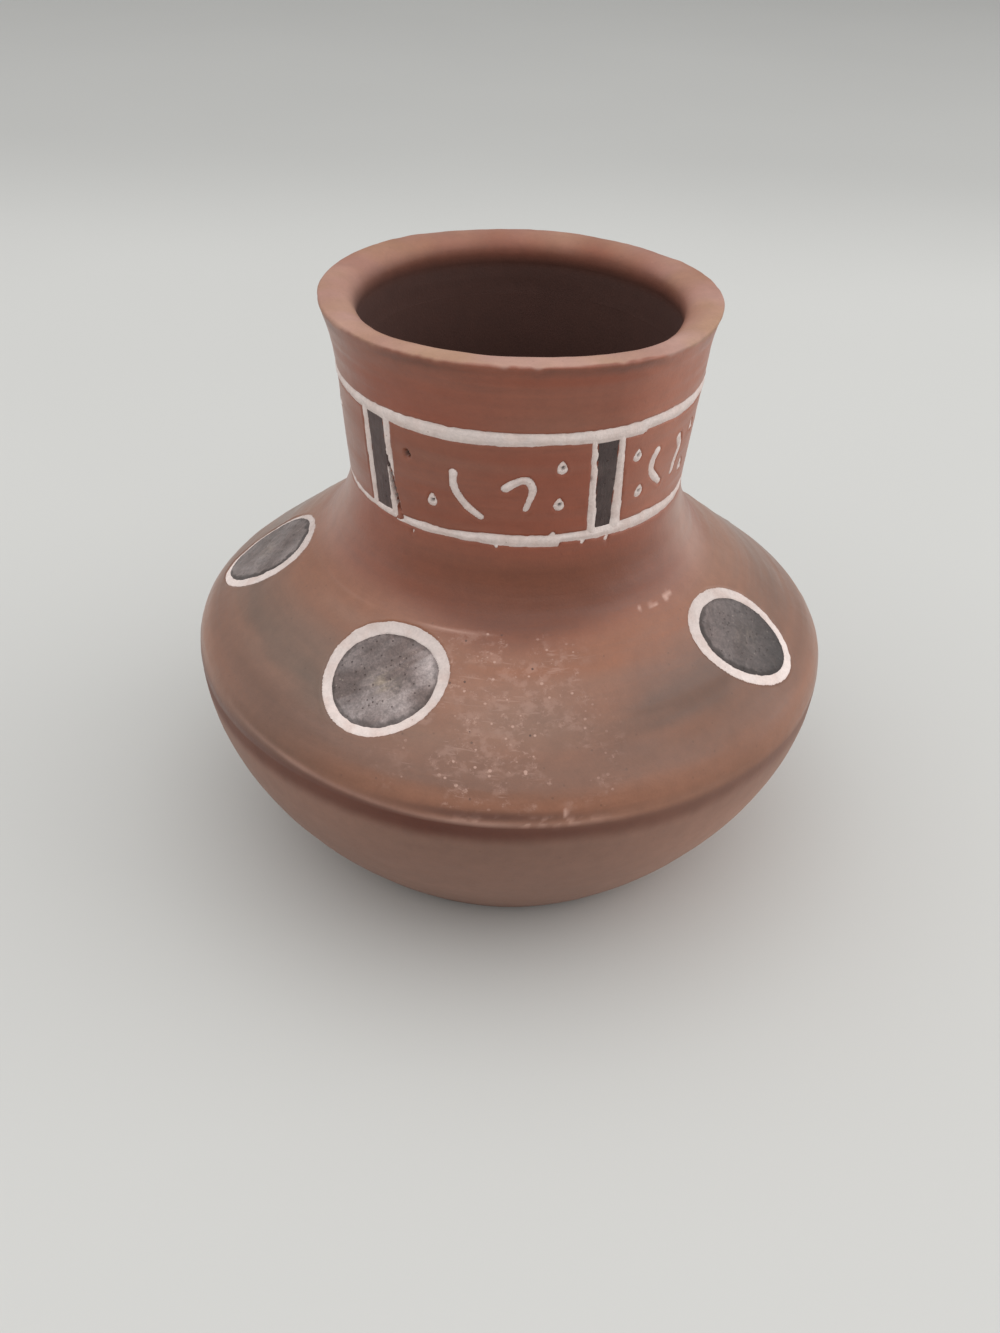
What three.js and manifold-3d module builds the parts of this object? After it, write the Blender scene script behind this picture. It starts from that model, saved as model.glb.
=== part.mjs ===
// A hand-built redware vase. A bowl, a shoulder, a neck and a rim of red clay are luted one on
// another, each with a spigot that drops into a rebate of the section below. White and dark slip fills
// the marks cut into the clay: two lines round the neck, upright dividers between them, strokes and
// dots in the panels, and ringed spots on the shoulder.
// Millimetres, +Z up, the base on Z = 0 with the axis at the origin, and the front towards -Y.
// Angles are in degrees round the axis, from the front towards +X.
import * as THREE from "three";
import { mergeVertices } from "three/addons/utils/BufferGeometryUtils.js";
import Module from "manifold-3d";

// Clay walls
const bodyDiameter = 112;
const baseDiameter = 70;
const heelRadius = 2;
const bowlHeight = 38.5;
const bowlTurnHeight = 22;
const shoulderRise = 20.7;
const shoulderEdgeRise = 3.5;
const shoulderEdgeRun = 5;
const collarDiameter = 68;
const neckRise = 34.4;
const neckWaistRise = 11.1;
const neckWaistDiameter = 56;
const neckTopDiameter = 60.6;
const flareCornerGap = 1.6;
const rimRise = 7.4;
const rimDiameter = 63.4;
const lipTurnRise = 3;
const rimEdgeRadius = 1.2;
const wallThickness = 5;
const floorThickness = 6;

// Joints between the clay sections
const lapDepth = 2;
const lapClearance = 0.3;
const collarSeatWidth = 4;

// Slip fills and their pockets
const slipThickness = 0.6;
const slipRecess = 0.1;
const slipClearance = 0.3;
const pocketReach = 1;

// Band of marks on the neck
const lineWidth = 2;
const lowerLineRise = 1.4;
const upperLineDrop = 4.4;
const barWidth = 2.7;
const barLineWidth = 1.5;
const strokeWidth = 1.4;
const dotDiameter = 1.8;

// Each divider's angle, and how far it leans across for each millimetre that it rises
const dividers = [
  { angle: -46.9, lean: 0.03 },
  { angle: 28.3, lean: -0.08 },
  { angle: 88, lean: 0 },
  { angle: 163, lean: 0.02 },
  { angle: 238, lean: -0.03 },
];

// Marks in a panel: across from -1 to 1 between its dividers, up from -1 to 1 between the lines
const hooked = {
  dots: [[-0.52, -0.46], [0.74, 0.5], [0.72, -0.32]],
  emptyHoles: [[-0.79, 0.42]],
  strokes: [
    [[-0.3, 0.28], [-0.29, -0.03], [-0.17, -0.39], [0, -0.67]],
    [[0.21, 0.08], [0.3, 0.21], [0.39, 0.27], [0.45, 0.17], [0.46, -0.03], [0.4, -0.38]],
  ],
};
const paired = {
  dots: [[-0.83, 0.48], [-0.69, -0.38], [0.48, 0.46], [0.33, -0.37]],
  emptyHoles: [],
  strokes: [
    [[-0.44, 0.47], [-0.52, 0.25], [-0.48, -0.02], [-0.34, -0.34]],
    [[0.05, 0.47], [0.14, 0.21], [0.08, -0.03], [0.03, -0.32]],
  ],
};
const panels = [
  { motif: hooked, spread: 1, shift: 0 },
  { motif: paired, spread: 1, shift: 0 },
  { motif: paired, spread: 0.8, shift: 0.1 },
  { motif: paired, spread: 0.8, shift: 0.14 },
  { motif: paired, spread: 0.75, shift: -0.12 },
];

// Spots on the shoulder
const spotLength = 17.6;
const spotWidth = 14.4;
const spotRingWidth = 1.8;

// Each spot's angle, its middle's share of the way up the slope, its length and width as shares of the
// usual ones, and how far its length is turned from level, in degrees
const spots = [
  { angle: -26.7, up: 0.49, long: 0.97, wide: 1.03, turn: 25 },
  { angle: 62.1, up: 0.43, long: 1.04, wide: 0.96, turn: 136 },
  { angle: 131, up: 0.48, long: 1, wide: 1, turn: 70 },
  { angle: 200, up: 0.48, long: 1, wide: 1, turn: 110 },
  { angle: 269.6, up: 0.465, long: 1.17, wide: 0.945, turn: 57 },
];

// Facets
const turnSegments = 48;
const curveSteps = 5;
const spotSegments = 24;
const spotRings = 2;
const dotSegments = 8;
const strokeSteps = 9;
const strokeEndSteps = 4;

const clay = new THREE.MeshStandardMaterial({ color: 0x84594a, roughness: 0.6, metalness: 0 });
const whiteSlip = new THREE.MeshStandardMaterial({ color: 0xd2c3ba, roughness: 0.9, metalness: 0 });
const darkSlip = new THREE.MeshStandardMaterial({ color: 0x5a5250, roughness: 0.5, metalness: 0 });

// Heights of the joints and the top
const shoulderTop = bowlHeight + shoulderRise;
const neckTop = shoulderTop + neckRise;
const rimTop = neckTop + rimRise;

// Section points, as radius and height
const at = (radius, height) => new THREE.Vector2(radius, height);
const shares = (count) => Array.from({ length: count + 1 }, (_, i) => i / count);
const bodyRadius = bodyDiameter / 2;
const baseRadius = baseDiameter / 2;
const keel = at(bodyRadius, bowlHeight);
const keelCorner = at(bodyRadius, bowlHeight + shoulderEdgeRise);
const collar = at(collarDiameter / 2, shoulderTop);
const slopeAlong = collar.clone().sub(keelCorner).normalize();
const slopeStart = keelCorner.clone().addScaledVector(slopeAlong, shoulderEdgeRun);
const waist = at(neckWaistDiameter / 2, shoulderTop + neckWaistRise);
const neckEdge = at(neckTopDiameter / 2, neckTop);
const flareCorner = slopeAt(collar, waist.x + flareCornerGap);
const collarBore = collar.x - collarSeatWidth;

// The two straight walls that carry marks
const slopeWall = straightWall(slopeStart, collar);
const neckWall = straightWall(waist, neckEdge);

// The band between the lines, measured up the neck's wall from the waist
const lowerLine = lowerLineRise;
const upperLine = neckWall.length - upperLineDrop;
const bandMiddle = (lowerLine + upperLine) / 2;
const panelHeight = upperLine - lowerLine - lineWidth;
const barLineOffset = (barWidth + barLineWidth) / 2 + slipClearance;
const dividerWidth = 2 * barLineOffset + barLineWidth;

// Depths of a fill and of its pocket, out of the wall
const slipTop = -slipRecess;
const slipBottom = slipTop - slipThickness;
const pocketBottom = slipBottom - slipClearance;

const wasm = await Module();
wasm.setup();

// The point of the shoulder's slope, or of a line beside it, that has this radius
function slopeAt(point, radius) {
  return at(radius, point.y + ((radius - point.x) * slopeAlong.y) / slopeAlong.x);
}

function straightWall(start, end) {
  const along = end.clone().sub(start).normalize();
  const outward = at(along.y, -along.x);
  return { start, along, outward, length: start.distanceTo(end) };
}

function wallPoint(wall, rise, out) {
  return wall.start.clone().addScaledVector(wall.along, rise).addScaledVector(wall.outward, out);
}

// A section outline, walked up the outside and down the inside, turned round the axis
function turned(outline) {
  return new THREE.LatheGeometry(outline, turnSegments).rotateX(Math.PI / 2);
}

// Lays a flat geometry on the front of a wall: x across it, y up it and z out of it
function laidOn(wall, rise, geometry) {
  const position = geometry.getAttribute("position");
  for (let i = 0; i < position.count; i++) {
    const up = rise + position.getY(i);
    const point = wallPoint(wall, up, position.getZ(i));
    const turn = position.getX(i) / wallPoint(wall, up, 0).x;
    position.setXYZ(i, point.x * Math.sin(turn), -point.x * Math.cos(turn), point.y);
  }
  return geometry;
}

function slab(shape, bottom, top) {
  const flat = { depth: top - bottom, bevelEnabled: false, curveSegments: spotSegments / 2 };
  return new THREE.ExtrudeGeometry(shape, flat).translate(0, 0, bottom);
}

// An oval plate, with rings of points so that it can follow a round wall
function ovalPlate(halfLength, halfWidth, bottom, top) {
  const under = shares(spotRings).map((share) => at(share, bottom));
  const over = shares(spotRings).reverse().map((share) => at(share, top));
  const plate = new THREE.LatheGeometry([...under, ...over], spotSegments).rotateX(Math.PI / 2);
  return plate.scale(halfLength, halfWidth, 1);
}

function dot(radius, bottom, top) {
  const pin = new THREE.CylinderGeometry(radius, radius, top - bottom, dotSegments);
  return pin.rotateX(Math.PI / 2).translate(0, 0, (bottom + top) / 2);
}

function ovalRing(halfLength, halfWidth, ringWidth) {
  const shape = new THREE.Shape();
  shape.absellipse(0, 0, halfLength + ringWidth, halfWidth + ringWidth, 0, 2 * Math.PI);
  shape.holes.push(new THREE.Path().absellipse(0, 0, halfLength, halfWidth, 0, 2 * Math.PI));
  return shape;
}

// An upright bar whose ends stay level while it leans
function leaningBar(middle, width, height, lean) {
  const half = height / 2;
  const corner = (side, end) => at(middle + (side * width) / 2 + lean * end * half, end * half);
  return new THREE.Shape([corner(-1, -1), corner(1, -1), corner(1, 1), corner(-1, 1)]);
}

// A stroke of even width along a curve, with round ends
function strokeShape(points, width) {
  const curve = new THREE.SplineCurve(points);
  const offset = (t, angle) => {
    const heading = curve.getTangent(t).angle() + angle;
    return curve.getPoint(t).add(at(Math.cos(heading), Math.sin(heading)).multiplyScalar(width / 2));
  };
  const endTurns = shares(strokeEndSteps).slice(1, -1);
  return new THREE.Shape([
    ...shares(strokeSteps).map((t) => offset(t, -Math.PI / 2)),
    ...endTurns.map((share) => offset(1, (share - 0.5) * Math.PI)),
    ...shares(strokeSteps).reverse().map((t) => offset(t, Math.PI / 2)),
    ...endTurns.map((share) => offset(0, (share + 0.5) * Math.PI)),
  ]);
}

// A square-edged ring round a wall
function lineRing(wall, rise, width, bottom, top) {
  const low = rise - width / 2;
  const high = rise + width / 2;
  const corners = [[low, top], [high, top], [high, bottom], [low, bottom], [low, top]];
  return turned(corners.map(([up, out]) => wallPoint(wall, up, out)));
}

function solidOf(geometry) {
  const bare = geometry.clone().deleteAttribute("normal").deleteAttribute("uv");
  const merged = mergeVertices(bare);
  const vertProperties = new Float32Array(merged.getAttribute("position").array);
  const triVerts = new Uint32Array(merged.getIndex().array);
  return new wasm.Manifold(new wasm.Mesh({ numProp: 3, vertProperties, triVerts }));
}

function cut(geometry, pockets) {
  const solid = pockets.reduce((rest, pocket) => rest.subtract(solidOf(pocket)), solidOf(geometry));
  const mesh = solid.getMesh();
  const result = new THREE.BufferGeometry();
  result.setAttribute("position", new THREE.BufferAttribute(mesh.vertProperties, 3));
  result.setIndex(new THREE.BufferAttribute(mesh.triVerts, 1));
  result.computeVertexNormals();
  return result;
}

function bowlGeometry() {
  const inner = bodyRadius - wallThickness;
  const rebate = bodyRadius - wallThickness / 2 + lapClearance / 2;
  const rebateFloor = bowlHeight - lapDepth - lapClearance;
  const baseEdge = at(baseRadius, 0);
  const turn = at(bodyRadius, bowlTurnHeight);
  const heelEnd = baseEdge.clone().add(turn.clone().sub(baseEdge).setLength(heelRadius));
  const outline = new THREE.Path();
  outline.moveTo(0, 0);
  outline.lineTo(baseRadius - heelRadius, 0);
  outline.quadraticCurveTo(baseRadius, 0, heelEnd.x, heelEnd.y);
  outline.quadraticCurveTo(turn.x, turn.y, keel.x, keel.y);
  outline.lineTo(rebate, bowlHeight);
  outline.lineTo(rebate, rebateFloor);
  outline.lineTo(inner, rebateFloor);
  outline.quadraticCurveTo(inner, bowlTurnHeight, baseRadius - wallThickness, floorThickness);
  outline.lineTo(0, floorThickness);
  return turned(outline.getPoints(curveSteps));
}

function shoulderGeometry() {
  const inner = bodyRadius - wallThickness;
  const spigot = bodyRadius - wallThickness / 2 - lapClearance / 2;
  const spigotFoot = bowlHeight - lapDepth;
  const underCollar = wallPoint(slopeWall, slopeWall.length, -wallThickness);
  const boreFoot = slopeAt(underCollar, collarBore);
  const innerCorner = slopeAt(underCollar, inner);
  const innerStart = innerCorner.clone().addScaledVector(slopeAlong, shoulderEdgeRun);
  const outline = new THREE.Path();
  outline.moveTo(keel.x, keel.y);
  outline.quadraticCurveTo(keelCorner.x, keelCorner.y, slopeStart.x, slopeStart.y);
  outline.lineTo(collar.x, collar.y);
  outline.lineTo(collarBore, collar.y);
  outline.lineTo(boreFoot.x, boreFoot.y);
  outline.lineTo(innerStart.x, innerStart.y);
  outline.quadraticCurveTo(innerCorner.x, innerCorner.y, inner, bowlHeight);
  outline.lineTo(inner, spigotFoot);
  outline.lineTo(spigot, spigotFoot);
  outline.lineTo(spigot, bowlHeight);
  outline.closePath();
  return turned(outline.getPoints(curveSteps));
}

function neckGeometry() {
  const spigot = collarBore - lapClearance;
  const spigotFoot = shoulderTop - lapDepth;
  const innerWaist = waist.x - wallThickness;
  const rebate = neckEdge.x - wallThickness / 2 + lapClearance / 2;
  const rebateFloor = neckTop - lapDepth - lapClearance;
  const outline = new THREE.Path();
  outline.moveTo(collar.x, collar.y);
  outline.quadraticCurveTo(flareCorner.x, flareCorner.y, waist.x, waist.y);
  outline.lineTo(neckEdge.x, neckEdge.y);
  outline.lineTo(rebate, neckTop);
  outline.lineTo(rebate, rebateFloor);
  outline.lineTo(neckEdge.x - wallThickness, rebateFloor);
  outline.lineTo(innerWaist, waist.y);
  outline.quadraticCurveTo(innerWaist, shoulderTop, spigot - wallThickness, spigotFoot);
  outline.lineTo(spigot, spigotFoot);
  outline.lineTo(spigot, shoulderTop);
  outline.closePath();
  return turned(outline.getPoints(curveSteps));
}

function rimGeometry() {
  const outer = rimDiameter / 2;
  const mouth = outer - wallThickness;
  const spigot = neckEdge.x - wallThickness / 2 - lapClearance / 2;
  const spigotFoot = neckTop - lapDepth;
  const edgeFoot = rimTop - rimEdgeRadius;
  const outline = new THREE.Path();
  outline.moveTo(neckEdge.x, neckTop);
  outline.quadraticCurveTo(neckEdge.x, neckTop + lipTurnRise, outer, edgeFoot);
  outline.quadraticCurveTo(outer, rimTop, outer - rimEdgeRadius, rimTop);
  outline.lineTo(mouth + rimEdgeRadius, rimTop);
  outline.quadraticCurveTo(mouth, rimTop, mouth, edgeFoot);
  outline.lineTo(neckEdge.x - wallThickness, spigotFoot);
  outline.lineTo(spigot, spigotFoot);
  outline.lineTo(spigot, neckTop);
  outline.closePath();
  return turned(outline.getPoints(curveSteps));
}

const vase = new THREE.Group();
const pockets = [];

function addPiece(parent, name, geometry, material) {
  const piece = new THREE.Mesh(geometry, material);
  piece.name = name;
  parent.add(piece);
}

function turnedGroup(angle) {
  const group = new THREE.Group();
  group.rotation.z = THREE.MathUtils.degToRad(angle);
  vase.add(group);
  return group;
}

function addPocket(group, geometry) {
  pockets.push(geometry.rotateZ(group.rotation.z));
}

function addLine(name, rise) {
  const grownWidth = lineWidth + 2 * slipClearance;
  addPiece(vase, name, lineRing(neckWall, rise, lineWidth, slipBottom, slipTop), whiteSlip);
  pockets.push(lineRing(neckWall, rise, grownWidth, pocketBottom, pocketReach));
}

function addDivider(name, { angle, lean }) {
  const group = turnedGroup(angle);
  const height = panelHeight - 2 * slipClearance;
  const bar = (middle, width, tall, bottom, top) =>
    laidOn(neckWall, bandMiddle, slab(leaningBar(middle, width, tall, lean), bottom, top));
  const fill = (middle, width) => bar(middle, width, height, slipBottom, slipTop);
  addPiece(group, `${name}_bar`, fill(0, barWidth), darkSlip);
  addPiece(group, `${name}_left_line`, fill(-barLineOffset, barLineWidth), whiteSlip);
  addPiece(group, `${name}_right_line`, fill(barLineOffset, barLineWidth), whiteSlip);
  const pocketWidth = dividerWidth + 2 * slipClearance;
  addPocket(group, bar(0, pocketWidth, panelHeight, pocketBottom, pocketReach));
}

function addPanel(name, { motif, spread, shift }, leftAngle, rightAngle) {
  const group = turnedGroup((leftAngle + rightAngle) / 2);
  const middleRadius = wallPoint(neckWall, bandMiddle, 0).x;
  const halfWidth = (THREE.MathUtils.degToRad(rightAngle - leftAngle) * middleRadius - dividerWidth) / 2;
  const place = ([across, up]) => at((across * spread + shift) * halfWidth, (up * panelHeight) / 2);
  const dotAt = ([x, y], radius, bottom, top) =>
    laidOn(neckWall, bandMiddle, dot(radius, bottom, top).translate(x, y, 0));
  const strokeAlong = (points, width, bottom, top) =>
    laidOn(neckWall, bandMiddle, slab(strokeShape(points, width), bottom, top));

  motif.strokes.forEach((stroke, i) => {
    const points = stroke.map(place);
    const fill = strokeAlong(points, strokeWidth, slipBottom, slipTop);
    addPiece(group, `${name}_stroke_${i + 1}`, fill, whiteSlip);
    addPocket(group, strokeAlong(points, strokeWidth + 2 * slipClearance, pocketBottom, pocketReach));
  });
  motif.dots.forEach((point, i) => {
    const fill = dotAt(place(point), dotDiameter / 2, slipBottom, slipTop);
    addPiece(group, `${name}_dot_${i + 1}`, fill, whiteSlip);
  });
  [...motif.dots, ...motif.emptyHoles].forEach((point) => {
    addPocket(group, dotAt(place(point), dotDiameter / 2 + slipClearance, pocketBottom, pocketReach));
  });
}

function addSpot(name, { angle, up, long, wide, turn }) {
  const group = turnedGroup(angle);
  const halfLength = (long * spotLength) / 2;
  const halfWidth = (wide * spotWidth) / 2;
  const onSlope = (geometry) =>
    laidOn(slopeWall, up * slopeWall.length, geometry.rotateZ(THREE.MathUtils.degToRad(turn)));
  const oval = (grown, bottom, top) => ovalPlate(halfLength + grown, halfWidth + grown, bottom, top);
  const ringShape = ovalRing(halfLength + slipClearance, halfWidth + slipClearance, spotRingWidth);
  const pocketGrowth = spotRingWidth + 2 * slipClearance;
  addPiece(group, `${name}_disc`, onSlope(oval(0, slipBottom, slipTop)), darkSlip);
  addPiece(group, `${name}_ring`, onSlope(slab(ringShape, slipBottom, slipTop)), whiteSlip);
  addPocket(group, onSlope(oval(pocketGrowth, pocketBottom, pocketReach)));
}

addLine("upper_line", upperLine);
addLine("lower_line", lowerLine);
dividers.forEach((divider, i) => addDivider(`divider_${i + 1}`, divider));
panels.forEach((panel, i) => {
  const left = dividers[i].angle;
  const right = i + 1 < dividers.length ? dividers[i + 1].angle : dividers[0].angle + 360;
  addPanel(`panel_${i + 1}`, panel, left, right);
});
spots.forEach((spot, i) => addSpot(`spot_${i + 1}`, spot));

// The pockets are cut from every section that they reach
addPiece(vase, "bowl", cut(bowlGeometry(), pockets), clay);
addPiece(vase, "shoulder", cut(shoulderGeometry(), pockets), clay);
addPiece(vase, "neck", cut(neckGeometry(), pockets), clay);
addPiece(vase, "rim", cut(rimGeometry(), pockets), clay);

export default vase;
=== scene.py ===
"""Looks of a hand-built redware vase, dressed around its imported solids.

Lengths are millimetres until a mesh is made, and metres for the stage, the light and the camera. The frame
is that of the solids: +Z up, the base on Z = 0, the axis at the origin and the front towards -Y. Angles are
degrees round the axis, from the front towards +X.
"""
import math
from collections.abc import Callable
from dataclasses import dataclass

import bpy
import numpy as np
from mathutils import Matrix, Vector


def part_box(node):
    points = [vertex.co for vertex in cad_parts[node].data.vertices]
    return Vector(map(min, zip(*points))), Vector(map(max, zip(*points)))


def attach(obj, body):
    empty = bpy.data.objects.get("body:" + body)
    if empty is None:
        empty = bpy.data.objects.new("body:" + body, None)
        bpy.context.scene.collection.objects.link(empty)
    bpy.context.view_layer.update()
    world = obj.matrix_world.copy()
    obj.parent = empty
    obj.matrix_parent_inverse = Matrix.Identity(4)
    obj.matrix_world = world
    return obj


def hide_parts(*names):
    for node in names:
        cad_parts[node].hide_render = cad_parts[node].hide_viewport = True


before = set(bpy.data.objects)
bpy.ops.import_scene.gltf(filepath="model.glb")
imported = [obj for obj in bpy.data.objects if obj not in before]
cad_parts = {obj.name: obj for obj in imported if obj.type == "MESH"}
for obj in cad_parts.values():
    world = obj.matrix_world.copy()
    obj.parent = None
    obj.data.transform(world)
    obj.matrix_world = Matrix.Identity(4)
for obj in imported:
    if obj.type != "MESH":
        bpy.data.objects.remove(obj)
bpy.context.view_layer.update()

MM = 0.001
BODY = "root"


def node_radius(node):
    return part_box(node)[1].x / MM


def node_top(node):
    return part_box(node)[1].z / MM


def at(radius, height):
    return np.array([radius, height], float)


# Clay walls, as in the solids
KEEL = at(node_radius("bowl"), node_top("bowl"))
COLLAR = at(node_radius("neck"), node_top("shoulder"))
NECK_TOP = node_top("neck")
RIM_RADIUS = node_radius("rim")
RIM_TOP = node_top("rim")
BASE_RADIUS = 35
HEEL = 2
BOWL_TURN_HEIGHT = 22
SHOULDER_EDGE_RISE = 3.5
SHOULDER_EDGE_RUN = 5
WAIST = at(28, COLLAR[1] + 11.1)
NECK_EDGE = at(30.3, NECK_TOP)
FLARE_CORNER_GAP = 1.6
LIP_TURN_RISE = 3
RIM_EDGE = 0.5
WALL = 5
FLOOR_THICKNESS = 6
LAP_DEPTH = 2
LAP_CLEARANCE = 0.3
COLLAR_SEAT = 4
THROAT_DEPTH = 10.8

# The rolled inner edge of the mouth
ROLL_WIDTH = 2.9
ROLL_DEPTH = 4.5

# Band of marks on the neck, as in the solids
LINE_WIDTH = 2
LOWER_LINE_RISE = 1.4
UPPER_LINE_DROP = 4.4
BAR_WIDTH = 3
BAR_LINE_WIDTH = 1.5
BAR_LINE_OFFSET = 2.4
STROKE_WIDTH = 1.4
DOT_RADIUS = 0.8

# Each divider's angle, how far it leans across for each millimetre that it rises, and how pale its bar is
DIVIDERS = [(-46.9, -0.02, 1.22), (28.3, -0.06, 0.83), (88, 0, 1), (163, 0.02, 1), (238, -0.03, 1)]

# Marks in a panel: across from -1 to 1 between its dividers, up from -1 to 1 between the lines
HOOKED = {
    "dots": [(-0.52, -0.46), (0.74, 0.5), (0.72, -0.32)],
    "empty_holes": [(-0.79, 0.42)],
    "strokes": [
        [(-0.3, 0.28), (-0.29, -0.03), (-0.18, -0.37), (-0.03, -0.62)],
        [(0.21, 0.08), (0.3, 0.21), (0.39, 0.27), (0.45, 0.17), (0.46, -0.03), (0.4, -0.38)],
    ],
}
PAIRED = {
    "dots": [(-0.83, 0.48), (-0.69, -0.38), (0.48, 0.46), (0.33, -0.37)],
    "empty_holes": [],
    "strokes": [
        [(-0.45, 0.43), (-0.52, 0.2), (-0.48, -0.06), (-0.28, -0.36)],
        [(0.05, 0.47), (0.14, 0.21), (0.08, -0.03), (0.03, -0.32)],
    ],
}
# Each panel's motif, how far its marks spread and how far they shift
PANELS = [(HOOKED, 1, 0), (PAIRED, 1, 0), (PAIRED, 0.8, 0.1), (PAIRED, 0.8, 0.14), (PAIRED, 0.75, -0.12)]

# Spots on the shoulder, as in the solids: angle, share of the way up the slope, length and width as shares
# of the usual ones, and how far the length is turned from level
SPOT_LENGTH = 17.6
SPOT_WIDTH = 14.4
SPOT_JOINT = 0.25
SPOTS = [
    (-26.7, 0.49, 0.97, 1.03, 25), (62.1, 0.43, 1.04, 0.96, 136), (131, 0.48, 1, 1, 70),
    (200, 0.48, 1, 1, 110), (268.9, 0.465, 1.17, 1.03, 57),
]
# Each ring's width, and how far its outer edge is shifted across and up from its disc
RINGS = [(1.85, -0.2, 0.25), (1.9, -0.2, 0.2), (1.9, 0.1, -0.2), (1.9, -0.2, 0.1), (1.3, 1.0, 0.3)]
# How pale each disc is, how cloudy, and how much paler it gets with each millimetre across and up
# The paleness and its change across and up are partly a painted sheen
DISC_TONES = [
    (1.45, 1, (0.035, 0)), (0.7, 0.3, (-0.045, 0.05)), (1, 0.6, (0.02, 0.01)), (1.1, 0.7, (-0.02, 0)),
    (1.15, 0.45, (0.01, 0)),
]

# Widths of a divider's bar and of its left and right lines, each at the bottom and at the top
EVEN_WIDTHS = ((BAR_WIDTH, BAR_WIDTH), (BAR_LINE_WIDTH, BAR_LINE_WIDTH), (BAR_LINE_WIDTH, BAR_LINE_WIDTH))
UNEVEN_WIDTHS = {
    "divider_1": ((3.4, 3.9), (1.35, 1.4), (1.4, 1.5)),
    "divider_2": ((2.5, 3.6), (1.5, 1), (1.9, 1.15)),
}

# How the two lines' edges wander: angle, then the lower and the upper edge above the line's middle
UPPER_LINE_EDGES = [
    (-64, -0.8, 0.9), (-20, -1.3, 1.1), (0, -1.0, 1.2), (10, -0.7, 1.1), (25, -1.1, 1.0), (40.5, -1.3, 1.1),
    (41.5, -0.6, 1.2), (56, -0.9, 1.2), (120, -1.1, 0.9), (180, -0.9, 1.1), (240, -1.2, 1.0),
    (296, -0.8, 0.9),
]
LOWER_LINE_EDGES = [
    (-64, -0.45, 0.35), (-50, -0.45, 0.4), (-28, -0.8, 0.7), (-20, -0.6, 0.7), (-8, -0.8, 1.1),
    (14.2, -1.1, 1.0), (15, -0.3, 1.1), (25, -0.6, 1.1), (46, -0.7, 1.5), (64, -0.9, 0.9), (150, -0.8, 1.0),
    (230, -1.0, 0.8), (296, -0.45, 0.35),
]
# Crumbs of slip on the lower line's edges, and the clay bridge that breaks it: angle, rise and radius
LOWER_LINE_CRUMBS = [
    (-32.8, -1.5, 0.35), (12, 1.1, 0.45), (22, -0.8, 0.35), (30.4, -1.0, 0.5), (-5, -1.0, 0.3),
]
LOWER_LINE_BRIDGES = [(-38.8, 0.1, 0.75)]

# Cuts and fills
CUT_DEPTH = 0.55
CUT_START = 0.1
CUT_END = -0.3
CUT_RAGGED = 0.09
CUT_MARGIN = 2
BURR_HEIGHT = 0.07
BURR_GAP = 0.45
BURR_WIDTH = 0.28
FILL_DEPTH = 0.1
LINE_DOME = 0.24
DOME_WIDTH = 0.8
DARK_FILL_DEPTH = 0.17
DARK_EDGE_DROP = 0.35
DARK_EDGE = 0.15
FILL_BOTTOM = 0.75
LEAST_FILL = 0.05
FILL_MARGIN = 0.4
FILL_STEP = 0.24
RING_UNDERLAP = 1.2
FILL_GONE = 0.9
PRICK_RADIUS = 0.3
PRICK_EDGE = 0.15
PRICK_SHIFT = (0.1, 0.2)
HOLE_DEPTH = 1.1
# The round parts of an empty hole: across and up from its middle, and size beside a dot
EMPTY_HOLE = [(0, 0, 0.65), (-0.2, 0.4, 0.55)]

# Columns round each clay section and round the lines, and the stretches and steps of the sections' rows
COLUMNS = {"bowl": 600, "shoulder": 840, "neck": 720, "rim": 640}
LINE_COLUMNS = 720
ROWS = {
    "bowl": [("base", "heel", 0.5), ("heel", "keel", 0.6)],
    "shoulder": [("keel", "slope", 0.3), ("slope", "collar", 0.32)],
    "neck": [("collar", "waist", 0.6), ("waist", "neck_edge", 0.26)],
    "rim": [("neck_edge", "lip", 0.3), ("lip", "rim", 0.15), ("rim", "roll", 0.2), ("roll", "mouth", 0.3),
            ("mouth", "foot", 0.6)],
}
HIDDEN_STEP = 5
CURVE_POINTS = 200
STROKE_POINTS = 36
FAR = 99.0
# The height of a lump of noise that is the same all the way up
TALL = 1000


def ramp(value, low, high):
    """0 at low, 1 at high, level beyond them and smooth between. High may be the smaller."""
    share = np.clip((value - low) / (high - low), 0, 1)
    return share * share * (3 - 2 * share)


def bell(value, middle, spread):
    return np.exp(-(((value - middle) / spread) ** 2))


def stretch(value, start, full, last, end):
    """1 between full and last, 0 before start and past end, and smooth between."""
    return ramp(value, start, full) * ramp(value, end, last)


def mix(first, second, share):
    share = np.asarray(share)[..., None]
    return first * (1 - share) + second * share


def colour(red, green, blue):
    """The scene's linear colour for an sRGB one written from 0 to 255."""
    value = np.array([red, green, blue]) / 255
    return np.where(value <= 0.04045, value / 12.92, ((value + 0.055) / 1.055) ** 2.4)


LATTICE_SIZE = 32
LATTICE_SEED = 7
LATTICE = np.random.default_rng(LATTICE_SEED).uniform(-1, 1, (LATTICE_SIZE,) * 3)
LATTICE_SHIFT = np.array([11.3, 5.7, 17.9])


def noise(points, size, seed):
    """Smooth random values from -1 to 1 in lumps of about this size, which may differ in x, y and z."""
    place = points / np.asarray(size, float) + seed * LATTICE_SHIFT
    cell = np.floor(place).astype(int)
    share = place - cell
    share = share * share * (3 - 2 * share)
    value = np.zeros(points.shape[:-1])
    for corner in np.ndindex(2, 2, 2):
        weight = np.prod(np.where(corner, share, 1 - share), axis=-1)
        index = (cell + corner) % LATTICE_SIZE
        value += weight * LATTICE[index[..., 0], index[..., 1], index[..., 2]]
    return value


def curve(start, control, end):
    """Close-set points along a quadratic curve."""
    t = np.linspace(0, 1, CURVE_POINTS)[:, None]
    return (1 - t) ** 2 * start + 2 * t * (1 - t) * control + t**2 * end


def line(start, end):
    return np.linspace(start, end, CURVE_POINTS)


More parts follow.
